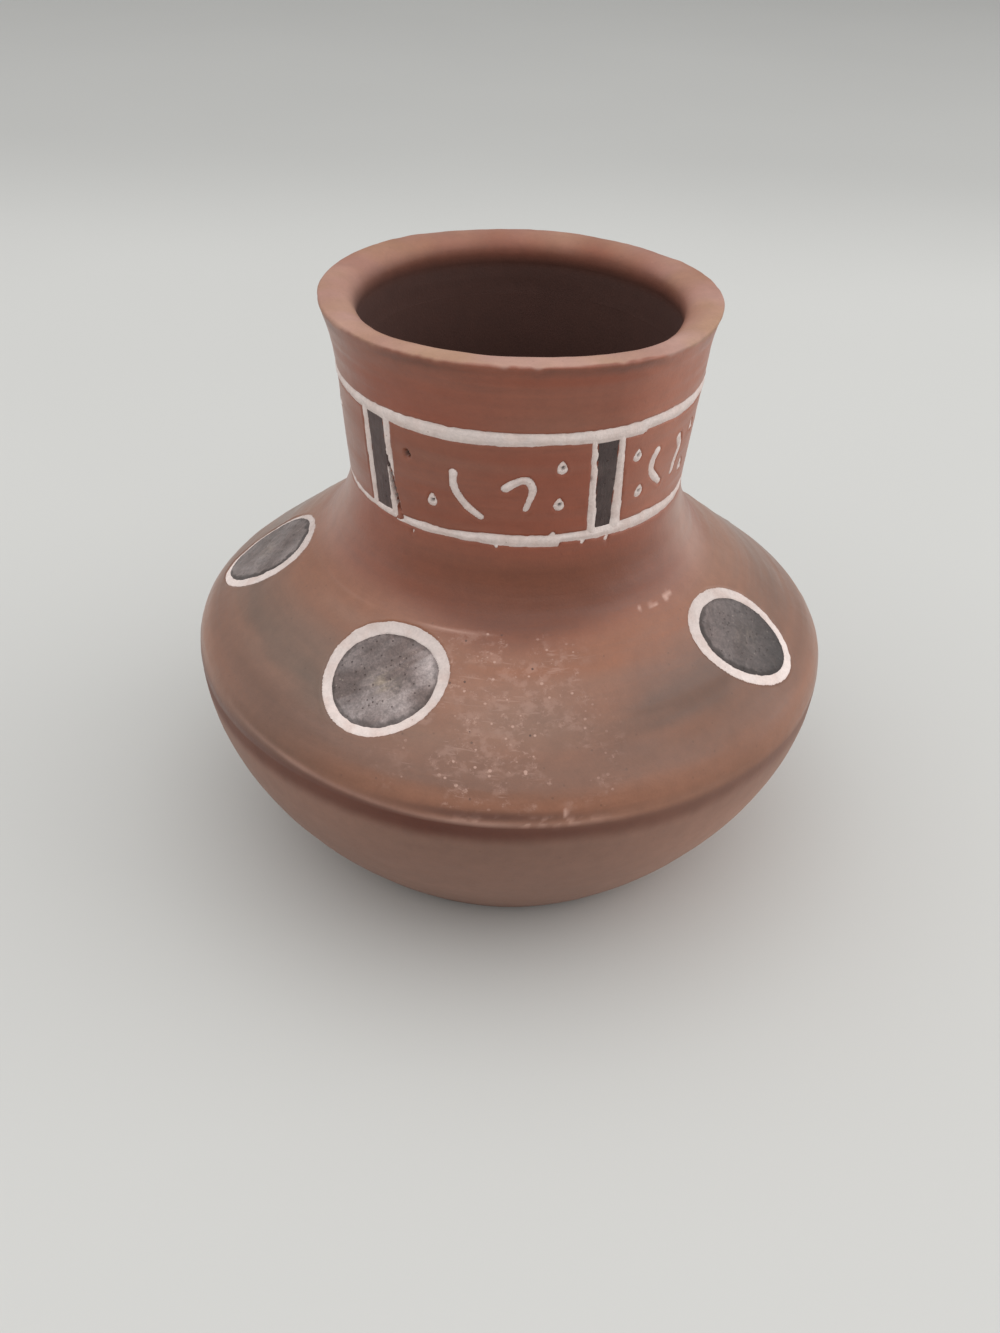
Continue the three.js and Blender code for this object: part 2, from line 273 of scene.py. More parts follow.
def path_lengths(points):
    steps = np.linalg.norm(np.diff(points, axis=0), axis=1)
    return np.concatenate([[0], np.cumsum(steps)])


def evenly(points, step):
    """The same path with its points one step apart, as near as its ends allow."""
    lengths = path_lengths(points)
    stations = np.linspace(0, lengths[-1], max(1, round(lengths[-1] / step)) + 1)
    return np.stack([np.interp(stations, lengths, axis) for axis in np.transpose(points)], axis=1)


def joined(paths):
    """Paths end to end, with each shared point kept once."""
    return np.concatenate([paths[0]] + [path[1:] for path in paths[1:]])


EASE_STEP = 0.1
EASE_WIDTH = 5


class Outside:
    """The vase's visible wall in section, from the base up and over the lip into the mouth."""

    def __init__(self):
        mouth = RIM_RADIUS - WALL
        keel_corner = KEEL + at(0, SHOULDER_EDGE_RISE)
        along_slope = (COLLAR - keel_corner) / np.linalg.norm(COLLAR - keel_corner)
        slope_start = keel_corner + along_slope * SHOULDER_EDGE_RUN
        flare_run = (WAIST[0] + FLARE_CORNER_GAP - COLLAR[0]) / along_slope[0]
        bowl_turn = at(KEEL[0], BOWL_TURN_HEIGHT)
        base_edge = at(BASE_RADIUS, 0)
        heel_end = base_edge + (bowl_turn - base_edge) * HEEL / np.linalg.norm(bowl_turn - base_edge)
        lip_foot = at(RIM_RADIUS, RIM_TOP - RIM_EDGE)
        lip_top = at(RIM_RADIUS - RIM_EDGE, RIM_TOP)
        roll_start = at(mouth + ROLL_WIDTH, RIM_TOP)
        roll_end = at(mouth, RIM_TOP - ROLL_DEPTH)
        stretches = {
            "heel": curve(at(BASE_RADIUS - HEEL, 0), base_edge, heel_end),
            "keel": curve(heel_end, bowl_turn, KEEL),
            "slope": curve(KEEL, keel_corner, slope_start),
            "collar": line(slope_start, COLLAR),
            "waist": curve(COLLAR, COLLAR + along_slope * flare_run, WAIST),
            "neck_edge": line(WAIST, NECK_EDGE),
            "lip": curve(NECK_EDGE, NECK_EDGE + at(0, LIP_TURN_RISE), lip_foot),
            "rim": curve(lip_foot, at(RIM_RADIUS, RIM_TOP), lip_top),
            "roll": line(lip_top, roll_start),
            "mouth": curve(roll_start, at(mouth, RIM_TOP), roll_end),
            "foot": line(roll_end, at(NECK_EDGE[0] - WALL, NECK_TOP - LAP_DEPTH)),
        }
        ends = np.cumsum([path_lengths(path)[-1] for path in stretches.values()])
        self.station = {"base": 0.0} | dict(zip(stretches, ends))
        self.points = self.eased(joined(list(stretches.values())))
        self.lengths = path_lengths(self.points)
        self.lengths *= ends[-1] / self.lengths[-1]
        tangent = np.gradient(self.points, self.lengths, axis=0)
        tangent /= np.linalg.norm(tangent, axis=1)[:, None]
        self.normals = np.stack([tangent[:, 1], -tangent[:, 0]], axis=1)

    def eased(self, points):
        """The path with the corners at the waist and under the lip rounded over a few millimetres."""
        fine = evenly(points, EASE_STEP)
        half = round(EASE_WIDTH / EASE_STEP / 2)
        padded = np.pad(fine, ((half, half), (0, 0)), mode="edge")
        kernel = np.ones(2 * half + 1) / (2 * half + 1)
        round_path = np.stack([np.convolve(axis, kernel, "valid") for axis in padded.T], axis=1)
        along = path_lengths(fine)
        share = ramp(along, self.station["collar"], self.station["waist"] - EASE_WIDTH)
        share *= ramp(along, self.station["lip"], self.station["lip"] - EASE_WIDTH)
        return mix(fine, round_path, share)

    def section(self, station):
        """Points and outward normals, as radius and height, at stations along the wall."""
        points = [np.interp(station, self.lengths, axis) for axis in self.points.T]
        normals = [np.interp(station, self.lengths, axis) for axis in self.normals.T]
        return np.stack(points, axis=-1), np.stack(normals, axis=-1)

    def place(self, angle, station, out):
        """Points in space at angles and stations, and this far out of the wall."""
        points, normals = self.section(station)
        return turned(angle, points + normals * np.asarray(out)[..., None])


def turned(angle, section_points):
    """Points in space from angles and from radius and height."""
    turn = np.radians(angle)
    radius, height = section_points[..., 0], section_points[..., 1]
    height = np.broadcast_to(height, np.broadcast_shapes(turn.shape, height.shape))
    return np.stack([radius * np.sin(turn), -radius * np.cos(turn), height], axis=-1)


outside = Outside()
STATION = outside.station
UPPER_LINE = STATION["neck_edge"] - UPPER_LINE_DROP
LOWER_LINE = STATION["waist"] + LOWER_LINE_RISE
BAND_MIDDLE = (UPPER_LINE + LOWER_LINE) / 2
PANEL_HEIGHT = UPPER_LINE - LOWER_LINE - LINE_WIDTH
BAND_RADIUS = float(outside.section(BAND_MIDDLE)[0][0])
DIVIDER_WIDTH = 2 * BAR_LINE_OFFSET + BAR_LINE_WIDTH


# Hand shaping moves every piece alike, so that the fills stay in their cuts
SWAY_SIZE = 34
SWAY_DEPTH = 0.3
DENT_SIZE = 11
DENT_DEPTH = 0.07
LIP_WAVE_SIZE = 26
LIP_WAVE = 0.4
LIP_LEAN = 0.9
LIP_SWELL = 1.2
FRONT_SWELL = 1.4
# How far the wall faces the front, from -1 to 1, where each swell of the lip starts and where it is full
LIP_SWELL_FACING = (0.9, 0.3)
FRONT_SWELL_FACING = (0.6, 0.97)


def hand_shaped(points):
    """Moves the points of an even, turned vase to those of one that was shaped by hand."""
    radius = np.linalg.norm(points[..., :2], axis=-1)
    outward = points[..., :2] / np.maximum(radius, 1)[..., None]
    left, front = -outward[..., 0], -outward[..., 1]
    lip = ramp(points[..., 2], NECK_TOP - WALL, RIM_TOP)
    inner = ramp(radius, RIM_RADIUS - WALL / 2, RIM_RADIUS - WALL)
    front_inner = ramp(radius, RIM_RADIUS - 1, RIM_RADIUS - WALL)
    out = SWAY_DEPTH * noise(points, SWAY_SIZE, 1) + DENT_DEPTH * noise(points, DENT_SIZE, 2)
    out *= ramp(points[..., 2], 0, HEEL)
    out += LIP_LEAN * lip * np.clip(left, 0, 1) ** 3
    out -= LIP_SWELL * lip * inner * ramp(front, *LIP_SWELL_FACING)
    out -= FRONT_SWELL * lip * front_inner * ramp(front, *FRONT_SWELL_FACING)
    lift = LIP_WAVE * lip * noise(points, (LIP_WAVE_SIZE, LIP_WAVE_SIZE, TALL), 3)
    return points + np.concatenate([outward * out[..., None], lift[..., None]], axis=-1)


# Signed distances to a shape's edge, negative inside
def bar_distance(x, y, middle, width, height, lean):
    return np.maximum(abs(x - middle - lean * y) - width / 2, abs(y) - height / 2)


def blob_distance(x, y, blobs):
    """To a union of round blobs, each a place across and up and a radius."""
    return np.minimum.reduce([np.hypot(x - across, y - up) - radius for across, up, radius in blobs])


def oval_distance(x, y, half_width, half_height):
    share = np.hypot(x / half_width, y / half_height)
    slope = np.hypot(x / half_width**2, y / half_height**2) / np.maximum(share, 1e-6)
    return (share - 1) / np.maximum(slope, 1 / (half_width + half_height))


def turned_back(x, y, degrees):
    """Places measured along and across a shape that is turned from level."""
    turn = math.radians(degrees)
    return x * math.cos(turn) + y * math.sin(turn), y * math.cos(turn) - x * math.sin(turn)


def line_distance(x, y, edges):
    """To a line round the neck whose two edges wander with the angle."""
    angle = np.degrees(x / BAND_RADIUS)
    angles, low, high = np.transpose(edges)
    turns = angles[0] + np.mod(angle - angles[0], 360)
    return np.maximum(np.interp(turns, angles, low) - y, y - np.interp(turns, angles, high))


def on_line(places):
    """Blobs on a line, from angle, rise and radius."""
    return [(math.radians(angle) * BAND_RADIUS, rise, radius) for angle, rise, radius in places]


@dataclass
class Mark:
    """A cut in the clay and the slip that fills it, measured across and up from the mark's middle."""

    node: str | None
    station: float
    angle: float
    reach: tuple
    distance: Callable
    slot: str = "white_slip"
    dark: Callable | None = None
    loss: Callable | None = None
    depth: float = CUT_DEPTH
    dome: float = 0.0
    tone: float = 1.0
    clouds: float = 1.0
    light_and_shade: tuple = (0, 0)

    def local(self, angle, station, radius):
        """Places across and up on this mark of points on the wall."""
        turn = np.mod(angle - self.angle + 180, 360) - 180
        return np.radians(turn) * radius, station - self.station


def line_marks():
    def lower_distance(x, y):
        crumbs = blob_distance(x, y, on_line(LOWER_LINE_CRUMBS))
        bridges = blob_distance(x, y, on_line(LOWER_LINE_BRIDGES))
        return np.maximum(np.minimum(line_distance(x, y, LOWER_LINE_EDGES), crumbs), -bridges)

    def upper_distance(x, y):
        return line_distance(x, y, UPPER_LINE_EDGES)

    reach = (math.pi * BAND_RADIUS + WALL, LINE_WIDTH)
    return [
        Mark("upper_line", UPPER_LINE, 0, reach, upper_distance, dome=LINE_DOME),
        Mark("lower_line", LOWER_LINE, 0, reach, lower_distance, dome=LINE_DOME),
    ]


# The crevice along the first divider's right line, where slip has fallen out, and a nick in the second's
# left line: across, up and radius
CREVICED = "divider_1"
CREVICE_TOP = 1.6
CREVICE_START = 2
CREVICE_LEAN = -0.19
CREVICE_WIDTH = 0.7
NICKED_LINE = ("divider_2", -1)
NICK = (-0.75, 1.6, 0.5)
NICK_EDGE = 0.2


def crevice_distance(x, y, lean):
    height = CREVICE_TOP + PANEL_HEIGHT / 2
    middle = CREVICE_TOP - height / 2
    start = CREVICE_START + CREVICE_LEAN * (middle - CREVICE_TOP)
    return bar_distance(x - lean * y, y - middle, start, CREVICE_WIDTH, height, CREVICE_LEAN)


def line_loss(name, side, lean):
    """How far a divider's white line has crumbled away at each place, from 0 to 1."""
    def crevice(x, y):
        return ramp(crevice_distance(x, y, lean), PRICK_EDGE, -PRICK_EDGE)

    def nick(x, y):
        distance = blob_distance(x - side * BAR_LINE_OFFSET - lean * y, y, [NICK])
        return ramp(distance, NICK_EDGE, -NICK_EDGE)

    return {(CREVICED, 1): crevice, NICKED_LINE: nick}.get((name, side))


def width_at(y, ends):
    """A width at a height in a panel, from those at its bottom and its top."""
    bottom, top = ends
    return (bottom + top) / 2 + (top - bottom) * y / PANEL_HEIGHT


def divider_marks(name, angle, lean, tone):
    bar_ends, *line_ends = UNEVEN_WIDTHS.get(name, EVEN_WIDTHS)
    height = PANEL_HEIGHT + LINE_WIDTH
    half = max(bar_ends) / 2 + np.max(line_ends) + abs(lean) * height / 2
    reach = (half, height / 2)

    def bar(x, y):
        return bar_distance(x, y, 0, width_at(y, bar_ends), height, lean)

    marks = [Mark(f"{name}_bar", BAND_MIDDLE, angle, reach, bar, "dark_slip", tone=tone)]
    for side, word, ends in ((-1, "left", line_ends[0]), (1, "right", line_ends[1])):
        def white(x, y, side=side, ends=ends):
            width = width_at(y, ends)
            middle = side * (width_at(y, bar_ends) + width) / 2
            return bar_distance(x, y, middle, width, height, lean)

        loss = line_loss(name, side, lean)
        node = f"{name}_{word}_line"
        marks.append(Mark(node, BAND_MIDDLE, angle, reach, white, dark=bar, loss=loss, dome=LINE_DOME))
    if name == CREVICED:
        def crevice(x, y):
            return crevice_distance(x, y, lean)

        marks.append(Mark(None, BAND_MIDDLE, angle, reach, crevice, depth=HOLE_DEPTH))
    return marks


def spline(points, count):
    """Points along a smooth curve through these."""
    points = np.array(points)
    places = np.linspace(0, len(points) - 1, count)
    first = np.minimum(places.astype(int), len(points) - 2)
    share = (places - first)[:, None]
    before, start = points[np.maximum(first - 1, 0)], points[first]
    end, after = points[first + 1], points[np.minimum(first + 2, len(points) - 1)]
    leave, arrive = (end - before) / 2, (after - start) / 2
    cubic = (2 * start - 2 * end + leave + arrive) * share**3
    square = (3 * end - 3 * start - 2 * leave - arrive) * share**2
    return cubic + square + leave * share + start


# A stroke's radius beside half its width where it is pressed in, and how much less it is after that and at
# its end
STROKE_PRESS = 0.98
STROKE_NARROWING = 0.1
STROKE_TAIL = 0.22
# The round parts of a dot: rise from its middle, and size beside its radius
DOT_TAPER = [(-0.1, 1), (0.45, 0.75), (0.85, 0.45), (1.1, 0.25)]


def stroke_blobs(points):
    """A stroke pressed in at its start and trailing off at its end."""
    path = spline(points, STROKE_POINTS)
    along = np.linspace(0, 1, len(path))
    narrowing = STROKE_NARROWING * ramp(along, 0, 0.3)
    tail = STROKE_TAIL * ramp(along, 0.7, 1)
    radius = STROKE_WIDTH / 2 * (STROKE_PRESS - narrowing - tail)
    return [(x, y, r) for (x, y), r in zip(path, radius)]


def dot_blobs(x, y):
    """A round dab with a short point at its top."""
    return [(x, y + rise, DOT_RADIUS * size) for rise, size in DOT_TAPER]


def spread_of(blobs):
    """Half the width and height that blobs reach from the middle of their panel."""
    reach = np.array([(abs(x) + radius, abs(y) + radius) for x, y, radius in blobs])
    return tuple(reach.max(axis=0))


def panel_marks(name, motif, spread, shift, left, right):
    angle = (left + right) / 2
    half_width = (math.radians(right - left) * BAND_RADIUS - DIVIDER_WIDTH) / 2

    def place(across, up):
        return (across * spread + shift) * half_width, up * PANEL_HEIGHT / 2

    def mark(node, blobs, holes=()):
        def distance(x, y):
            return blob_distance(x, y, blobs)

        def hollow(x, y):
            return ramp(blob_distance(x, y, holes), PRICK_EDGE, -PRICK_EDGE)

        loss = hollow if holes else None
        return Mark(node, BAND_MIDDLE, angle, spread_of(blobs), distance, loss=loss, dome=LINE_DOME)

    marks = []
    for count, stroke in enumerate(motif["strokes"], 1):
        marks.append(mark(f"{name}_stroke_{count}", stroke_blobs([place(*point) for point in stroke])))
    for count, dot in enumerate(motif["dots"], 1):
        x, y = place(*dot)
        prick = (x + PRICK_SHIFT[0], y + PRICK_SHIFT[1], PRICK_RADIUS)
        marks.append(mark(f"{name}_dot_{count}", dot_blobs(x, y), [prick]))
    for hole in motif["empty_holes"]:
        x, y = place(*hole)
        marks.append(mark(None, [(x + across, y + up, DOT_RADIUS * size) for across, up, size in EMPTY_HOLE]))
        marks[-1].depth = HOLE_DEPTH
    return marks


def spot_marks(name, spot, ring_form, disc_tone):
    angle, up, long, wide, turn = spot
    ring_width, across_shift, up_shift = ring_form
    tone, clouds, light_and_shade = disc_tone
    station = STATION["slope"] + up * (STATION["collar"] - STATION["slope"])
    half_length = long * SPOT_LENGTH / 2 + SPOT_JOINT
    half_width = wide * SPOT_WIDTH / 2 + SPOT_JOINT
    reach = (half_length + ring_width + max(across_shift, up_shift),) * 2

    def disc(x, y):
        return oval_distance(*turned_back(x, y, turn), half_length, half_width)

    def ring(x, y):
        along, across = turned_back(x - across_shift, y - up_shift, turn)
        return oval_distance(along, across, half_length + ring_width, half_width + ring_width)

    looks = {"tone": tone, "clouds": clouds, "light_and_shade": light_and_shade}
    return [
        Mark(f"{name}_disc", station, angle, reach, disc, "dark_slip", **looks),
        Mark(f"{name}_ring", station, angle, reach, ring, dark=disc),
    ]


def all_marks():
    marks = line_marks()
    for number, divider in enumerate(DIVIDERS, 1):
        marks += divider_marks(f"divider_{number}", *divider)
    angles = [divider[0] for divider in DIVIDERS] + [DIVIDERS[0][0] + 360]
    for number, panel in enumerate(PANELS, 1):
        marks += panel_marks(f"panel_{number}", *panel, angles[number - 1], angles[number])
    for number, spot in enumerate(zip(SPOTS, RINGS, DISC_TONES), 1):
        marks += spot_marks(f"spot_{number}", *spot)
    return marks


marks = all_marks()


def cuts_at(angle, station, radius, ragged):
    """Distance from points on the wall to the nearest cut, and how deep they are cut, along ragged edges."""
    nearest = np.full(angle.shape, FAR)
    sunk = np.zeros(angle.shape)
    for mark in marks:
        x, y = mark.local(angle, station, radius)
        near = (abs(x) < mark.reach[0] + CUT_MARGIN) & (abs(y) < mark.reach[1] + CUT_MARGIN)
        distance = mark.distance(x[near], y[near]) + ragged[near]
        nearest[near] = np.minimum(nearest[near], distance)
        sunk[near] = np.maximum(sunk[near], mark.depth * ramp(distance, CUT_START, CUT_END))
    return nearest, sunk


# The worn ridge along the keel, painted paler partly as a highlight: angle, and how far it runs above the
# joint of bowl and shoulder
RIDGE = [(-180, 1), (-75, 3.2), (-55, 2.7), (-30, 1.2), (-12, 0.3), (10, 0.3), (40, 0.9), (90, 1.5), (180, 1)]

# The dark band that runs on under the keel: angle, top above the joint and strength, then how far its bottom
# lies below the joint and wanders
BAND = [
    (-180, 0.5, 0.7), (-60, 1.2, 0.62), (-30, 0.7, 0.8), (-12, -0.1, 1), (10, -0.4, 0.8), (30, -0.5, 0.55),
    (60, -0.4, 0.3), (180, 0.5, 0.7),
]
BAND_BOTTOM = 2.9
BAND_WANDER = 0.5

# Widths, heights and depths of wear, and the share of the burnishing strokes that the bowl has
RIDGE_WIDTH = 0.45
RIDGE_HEIGHT = 0.1
CHIP_DEPTH = 0.15
SEAM_WIDTH = 0.3
SEAM_HEIGHT = 0.16
LIP_RUB_DEPTH = 0.25
BOWL_STROKES = 0.08

# Chipped places, the seam's painted highlight and painted glints: the angle of each and how far it spreads
CHIPPED_FRONT = (4, 9)
SEAM_FRONT = (-16, 8)
GLINTING_FRONT = (-1, 15)
# Where the ridge fades: angles at which that starts, is full, starts to end and ends
RIDGE_FADES = (8, 26, 110, 170)


def by_angle(angle, table):
    """The values of a table at these angles, whose rows each start with an angle."""
    angles, *values = np.transpose(table)
    return [np.interp(angle, angles, value) for value in values]


def angles_round(columns):
    return np.arange(columns) * 360 / columns - 180


class ClayWall:
    """The visible clay of a section as rows and columns of points, with a colour and a polish for each."""

    def __init__(self, node):
        stretches = [(STATION[start], STATION[end], step) for start, end, step in ROWS[node]]
        rows = [np.linspace(start, end, round((end - start) / step) + 1) for start, end, step in stretches]
        self.angle, self.station = np.meshgrid(angles_round(COLUMNS[node]), joined(rows))
        self.above_keel = self.station - STATION["keel"]
        self.radius = outside.section(self.station)[0][..., 0]
        self.even = outside.place(self.angle, self.station, np.zeros_like(self.station))
        self.height = self.even[..., 2]
        self.points = hand_shaped(outside.place(self.angle, self.station, self.relief()))
        self.set_zones()
        self.tint = clay_tint(self)
        self.polish = clay_polish(self)

    def relief(self):
        """How far each point stands out of the even wall."""
        even = self.even
        ragged = CUT_RAGGED * (noise(even, 1.1, 4) + 0.6 * noise(even, 0.5, 5))
        nearest, self.sunk = cuts_at(self.angle, self.station, self.radius, ragged)
        uneven = np.clip(0.4 + 1.2 * noise(even, 2.5, 6), 0, 1.4)
        burr = BURR_HEIGHT * uneven * bell(nearest, BURR_GAP, BURR_WIDTH)
        wear = self.burnish() + self.keel_wear() + self.collar_seam() + self.rim_wear()
        return burr + wear - self.sunk

    def burnish(self):
        """Shallow facets and strokes left by rubbing the clay with a stone, mostly along the wall's rings."""
        even = self.even
        strokes = 0.03 * noise(even, (16, 16, 1.1), 7) + 0.015 * noise(even, (9, 9, 0.5), 8)
        lumps = 0.05 * noise(even, 5, 9) + 0.02 * noise(even, 1.6, 10)
        above_bowl = ramp(self.station, STATION["keel"] - 2, STATION["keel"])
        return strokes * (BOWL_STROKES + (1 - BOWL_STROKES) * above_bowl) + lumps

    def keel_wear(self):
        """A thin worn ridge along the keel, painted paler partly as a highlight, chipped at the front, and
        the dark band under it.
        """
        even, angle, above = self.even, self.angle, self.above_keel
        self.ridge = bell(above, *by_angle(angle, RIDGE), RIDGE_WIDTH)
        self.ridge *= np.clip(0.5 + 0.8 * noise(even, 9, 11), 0, 1)
        self.ridge *= 1 - 0.9 * stretch(angle, *RIDGE_FADES)
        chance = noise(even, (1.4, 1.4, 0.8), 12) + 0.8 * noise(even, (0.8, 0.8, 0.5), 13) + 0.3
        self.chips = ramp(chance, 0.4, 0.8) * bell(above, 0.6, 0.8) * bell(angle, *CHIPPED_FRONT)
        wander = BAND_WANDER * (noise(even, (14, 14, TALL), 14) + 0.4 * noise(even, (1.5, 1.5, TALL), 15))
        top, strength = by_angle(angle, BAND)
        bottom = -BAND_BOTTOM - wander
        self.band = strength * ramp(above, top + 1.2, top - 0.6) * ramp(above, bottom - 2, bottom + 1.2)
        return RIDGE_HEIGHT * self.ridge - CHIP_DEPTH * self.chips

    def collar_seam(self):
        """The faint raised line where the foot of the neck was smoothed over the shoulder, painted paler as a
        highlight.
        """
        sink = 0.9 + 0.8 * noise(self.even, (18, 18, TALL), 16)
        strength = np.clip(0.35 * noise(self.even, (12, 12, TALL), 17) + bell(self.angle, *SEAM_FRONT), 0, 1)
        self.seam = strength * bell(self.station - STATION["collar"], -sink, SEAM_WIDTH)
        return SEAM_HEIGHT * self.seam

    def rim_wear(self):
        """The outer edge of the lip, rubbed down unevenly."""
        depth = 0.25 + 0.9 * noise(self.even, (9, 9, TALL), 18) + 0.3 * noise(self.even, 1.8, 19)
        return -LIP_RUB_DEPTH * bell(self.station, STATION["rim"] - 0.5, 1.0) * np.clip(depth, 0, 1)

    def set_zones(self):
        """Blotches and streaks of the clay, and how far each point is in each of its zones, from 0 to 1."""
        even, station = self.even, self.station
        self.patch = noise(even, (22, 22, 7), 22)
        self.streak = noise(even, (14, 14, 1.4), 23)
        self.uneven_height = self.height + 0.8 * self.patch + 0.4 * self.streak
        self.facing = np.cos(np.radians(self.angle))
        collar = station + 1.2 * noise(even, (20, 20, TALL), 24) + 3.8 * bell(self.angle, *RED_TONGUE)
        self.neck = ramp(collar, STATION["collar"] - 2.5, STATION["collar"] + 5)
        self.bare = ramp(self.above_keel, 0, -0.5)
        nicks = 0.6 * noise(even, (4, 4, TALL), 25) + 0.4 * noise(even, (1.2, 1.2, TALL), 26)
        edge = station + (nicks + 1.2 * ramp(self.facing, 0.9, 0.4))
        self.lip = ramp(edge, STATION["lip"], STATION["rim"])
        self.lip *= ramp(station, STATION["mouth"], STATION["roll"])
        # Painted shade just under the edge of the lip
        self.shade_under_lip = bell(edge, STATION["lip"] - 0.7, 0.8)
        self.shade_under_lip *= np.clip(0.4 + 0.9 * noise(even, 7, 54), 0, 1)
        self.inside = ramp(station, STATION["roll"] + 1.5, STATION["mouth"] + 1)


# Clay colours, and those of painted sheen and shade
RED_CLAY = colour(143, 76, 53)
BROWN_CLAY = colour(136, 84, 64)
SHADED_FLARE_CLAY = colour(112, 58, 33)
SHEEN_RED = colour(170, 106, 83)
SHEEN_PINK = colour(178, 142, 128)
SHOULDER_CLAY = colour(152, 109, 88)
ORANGE_CLAY = colour(145, 87, 56)
BROWNED_CLAY = colour(122, 85, 67)
RUST_CLAY = colour(147, 98, 74)
SMOKED_CLAY = colour(104, 84, 71)
BROWN_SMOKE = colour(106, 73, 56)
KEEL_CLAY_AND_LIP_SHADE = colour(102, 60, 44)
BAND_CLAY = colour(91, 45, 31)
BARE_CLAY = colour(138, 99, 82)
LIP_CLAY = colour(178, 138, 125)
TAN_CLAY = colour(174, 136, 108)
WORN_AND_HIGHLIT_CLAY = colour(206, 164, 148)
INSIDE_CLAY = colour(74, 45, 37)
HOLE_SHADE = colour(36, 25, 22)

# The belt of smoke round the shoulder: angle, middle and strength, then how far it reaches up and down,
# and how much further at the right
SMOKE = [
    (-180, 49, 0.5), (-100, 50, 0.65), (-70, 50, 0.65), (-44, 50, 0.85), (-30, 48.5, 0.6), (-12, 47.5, 0.35),
    (6, 49, 0.4), (20, 48, 0.6), (30, 49.8, 0.95), (52, 49.8, 1.1), (75, 50, 0.6), (130, 49, 0.7),
    (180, 49, 0.5),
]
SMOKE_REACH = 4.6
RIGHT_SMOKE_REACH = 0.6

# Zones above the keel: heights where the rust starts and is full, middle and reach of the browned ring, and
# the browned sides, each with its colour, its strength, such heights, and its angle and spread
RUST_HEIGHTS = (45.5, 43)
BROWNED_RING = (45, 1.9)
BROWNED_SIDES = [(BROWN_SMOKE, 0.8, (47, 44.5), (-44, 20)), (BROWNED_CLAY, 0.45, (49, 45), (42, 18))]

# Places on the wall with other colour, polish, painted sheen or shade: the angle of each and how far it
# spreads
WIDER_SMOKE = (48, 12)
RED_TONGUE = (6, 28)
SHADED_FLARE_FRONT = (12, 55)
SHEEN_NECK_LEFT = (-82, 22)
SHEEN_FLARE_RIGHT = (75, 17)
ORANGE_SIDE = (30, 22)
HIGHLIGHT_FRONT = (-4, 9)
BROWN_FRONT = (-5, 9)
KEEL_FRONT = (-3, 17)
SHADED_BOWL_FRONT = (0, 20)
DULL_RIGHT = (42, 20)
# Stretches that do: angles at which each starts, is full, starts to end and ends
SHEEN_NECK_RIGHT = (25, 50, 80, 120)
BROWNER_SMOKE = (0, 20, 110, 170)
LIT_BOWL_RIGHT = (10, 50, 90, 150)

# Worn patches on the shoulder: angle, height, half width and half height
SCUFFS = [
    (37.5, 59.4, 0.6, 0.4), (43, 59.3, 1.5, 0.35), (49, 59.5, 1.6, 0.4), (10, 40.5, 0.3, 0.8),
    (-13, 55.5, 0.3, 0.3),
]


def smoke_on(wall):
    """A ragged belt of grey fire clouds, drawn out along the rings of the shoulder."""
    ragged = 0.5 * noise(wall.even, (14, 14, 3), 20) + 0.25 * noise(wall.even, (6, 6, 1), 21)
    middle, strength = by_angle(wall.angle, SMOKE)
    reach = SMOKE_REACH + RIGHT_SMOKE_REACH * bell(wall.angle, *WIDER_SMOKE)
    belt = strength * (1 + 0.5 * ragged) * bell(wall.height + 2.5 * ragged, middle, reach)
    return np.clip(belt, 0, 1)


def scuffs_on(wall):
    """Small bare patches where the burnished skin has flaked away."""
    scuffs = np.zeros_like(wall.station)
    for angle, height, half_width, half_height in SCUFFS:
        across = np.radians(wall.angle - angle) * wall.radius
        away = np.hypot(across / half_width, (wall.height - height) / half_height)
        scuffs = np.maximum(scuffs, bell(away, 0, 1))
    return ramp(scuffs + 0.4 * noise(wall.even, 1.1, 27), 0.35, 0.8)


def neck_tint(wall):
    """Red clay, with painted shade round the front of the flare and painted sheen at both sides."""
    angle, station = wall.angle, wall.station
    above_waist = ramp(station, STATION["waist"] - 2, STATION["waist"] + 4)
    flare = wall.neck * ramp(station, STATION["waist"] + 1, STATION["waist"] - 5)
    # Painted sheen at the sides of the neck and the flare, and painted shade round the front of the flare
    sheen_right = (1 - above_waist) * bell(angle, *SHEEN_FLARE_RIGHT)
    tint = mix(RED_CLAY, BROWN_CLAY, np.clip(0.35 + 0.5 * wall.patch + 0.2 * wall.streak, 0, 1))
    tint = mix(tint, SHADED_FLARE_CLAY, flare * bell(angle, *SHADED_FLARE_FRONT))
    tint = mix(tint, SHEEN_PINK, 0.65 * bell(angle, *SHEEN_NECK_LEFT) + 0.8 * sheen_right)
    return mix(tint, SHEEN_RED, 0.8 * stretch(angle, *SHEEN_NECK_RIGHT) * above_waist)


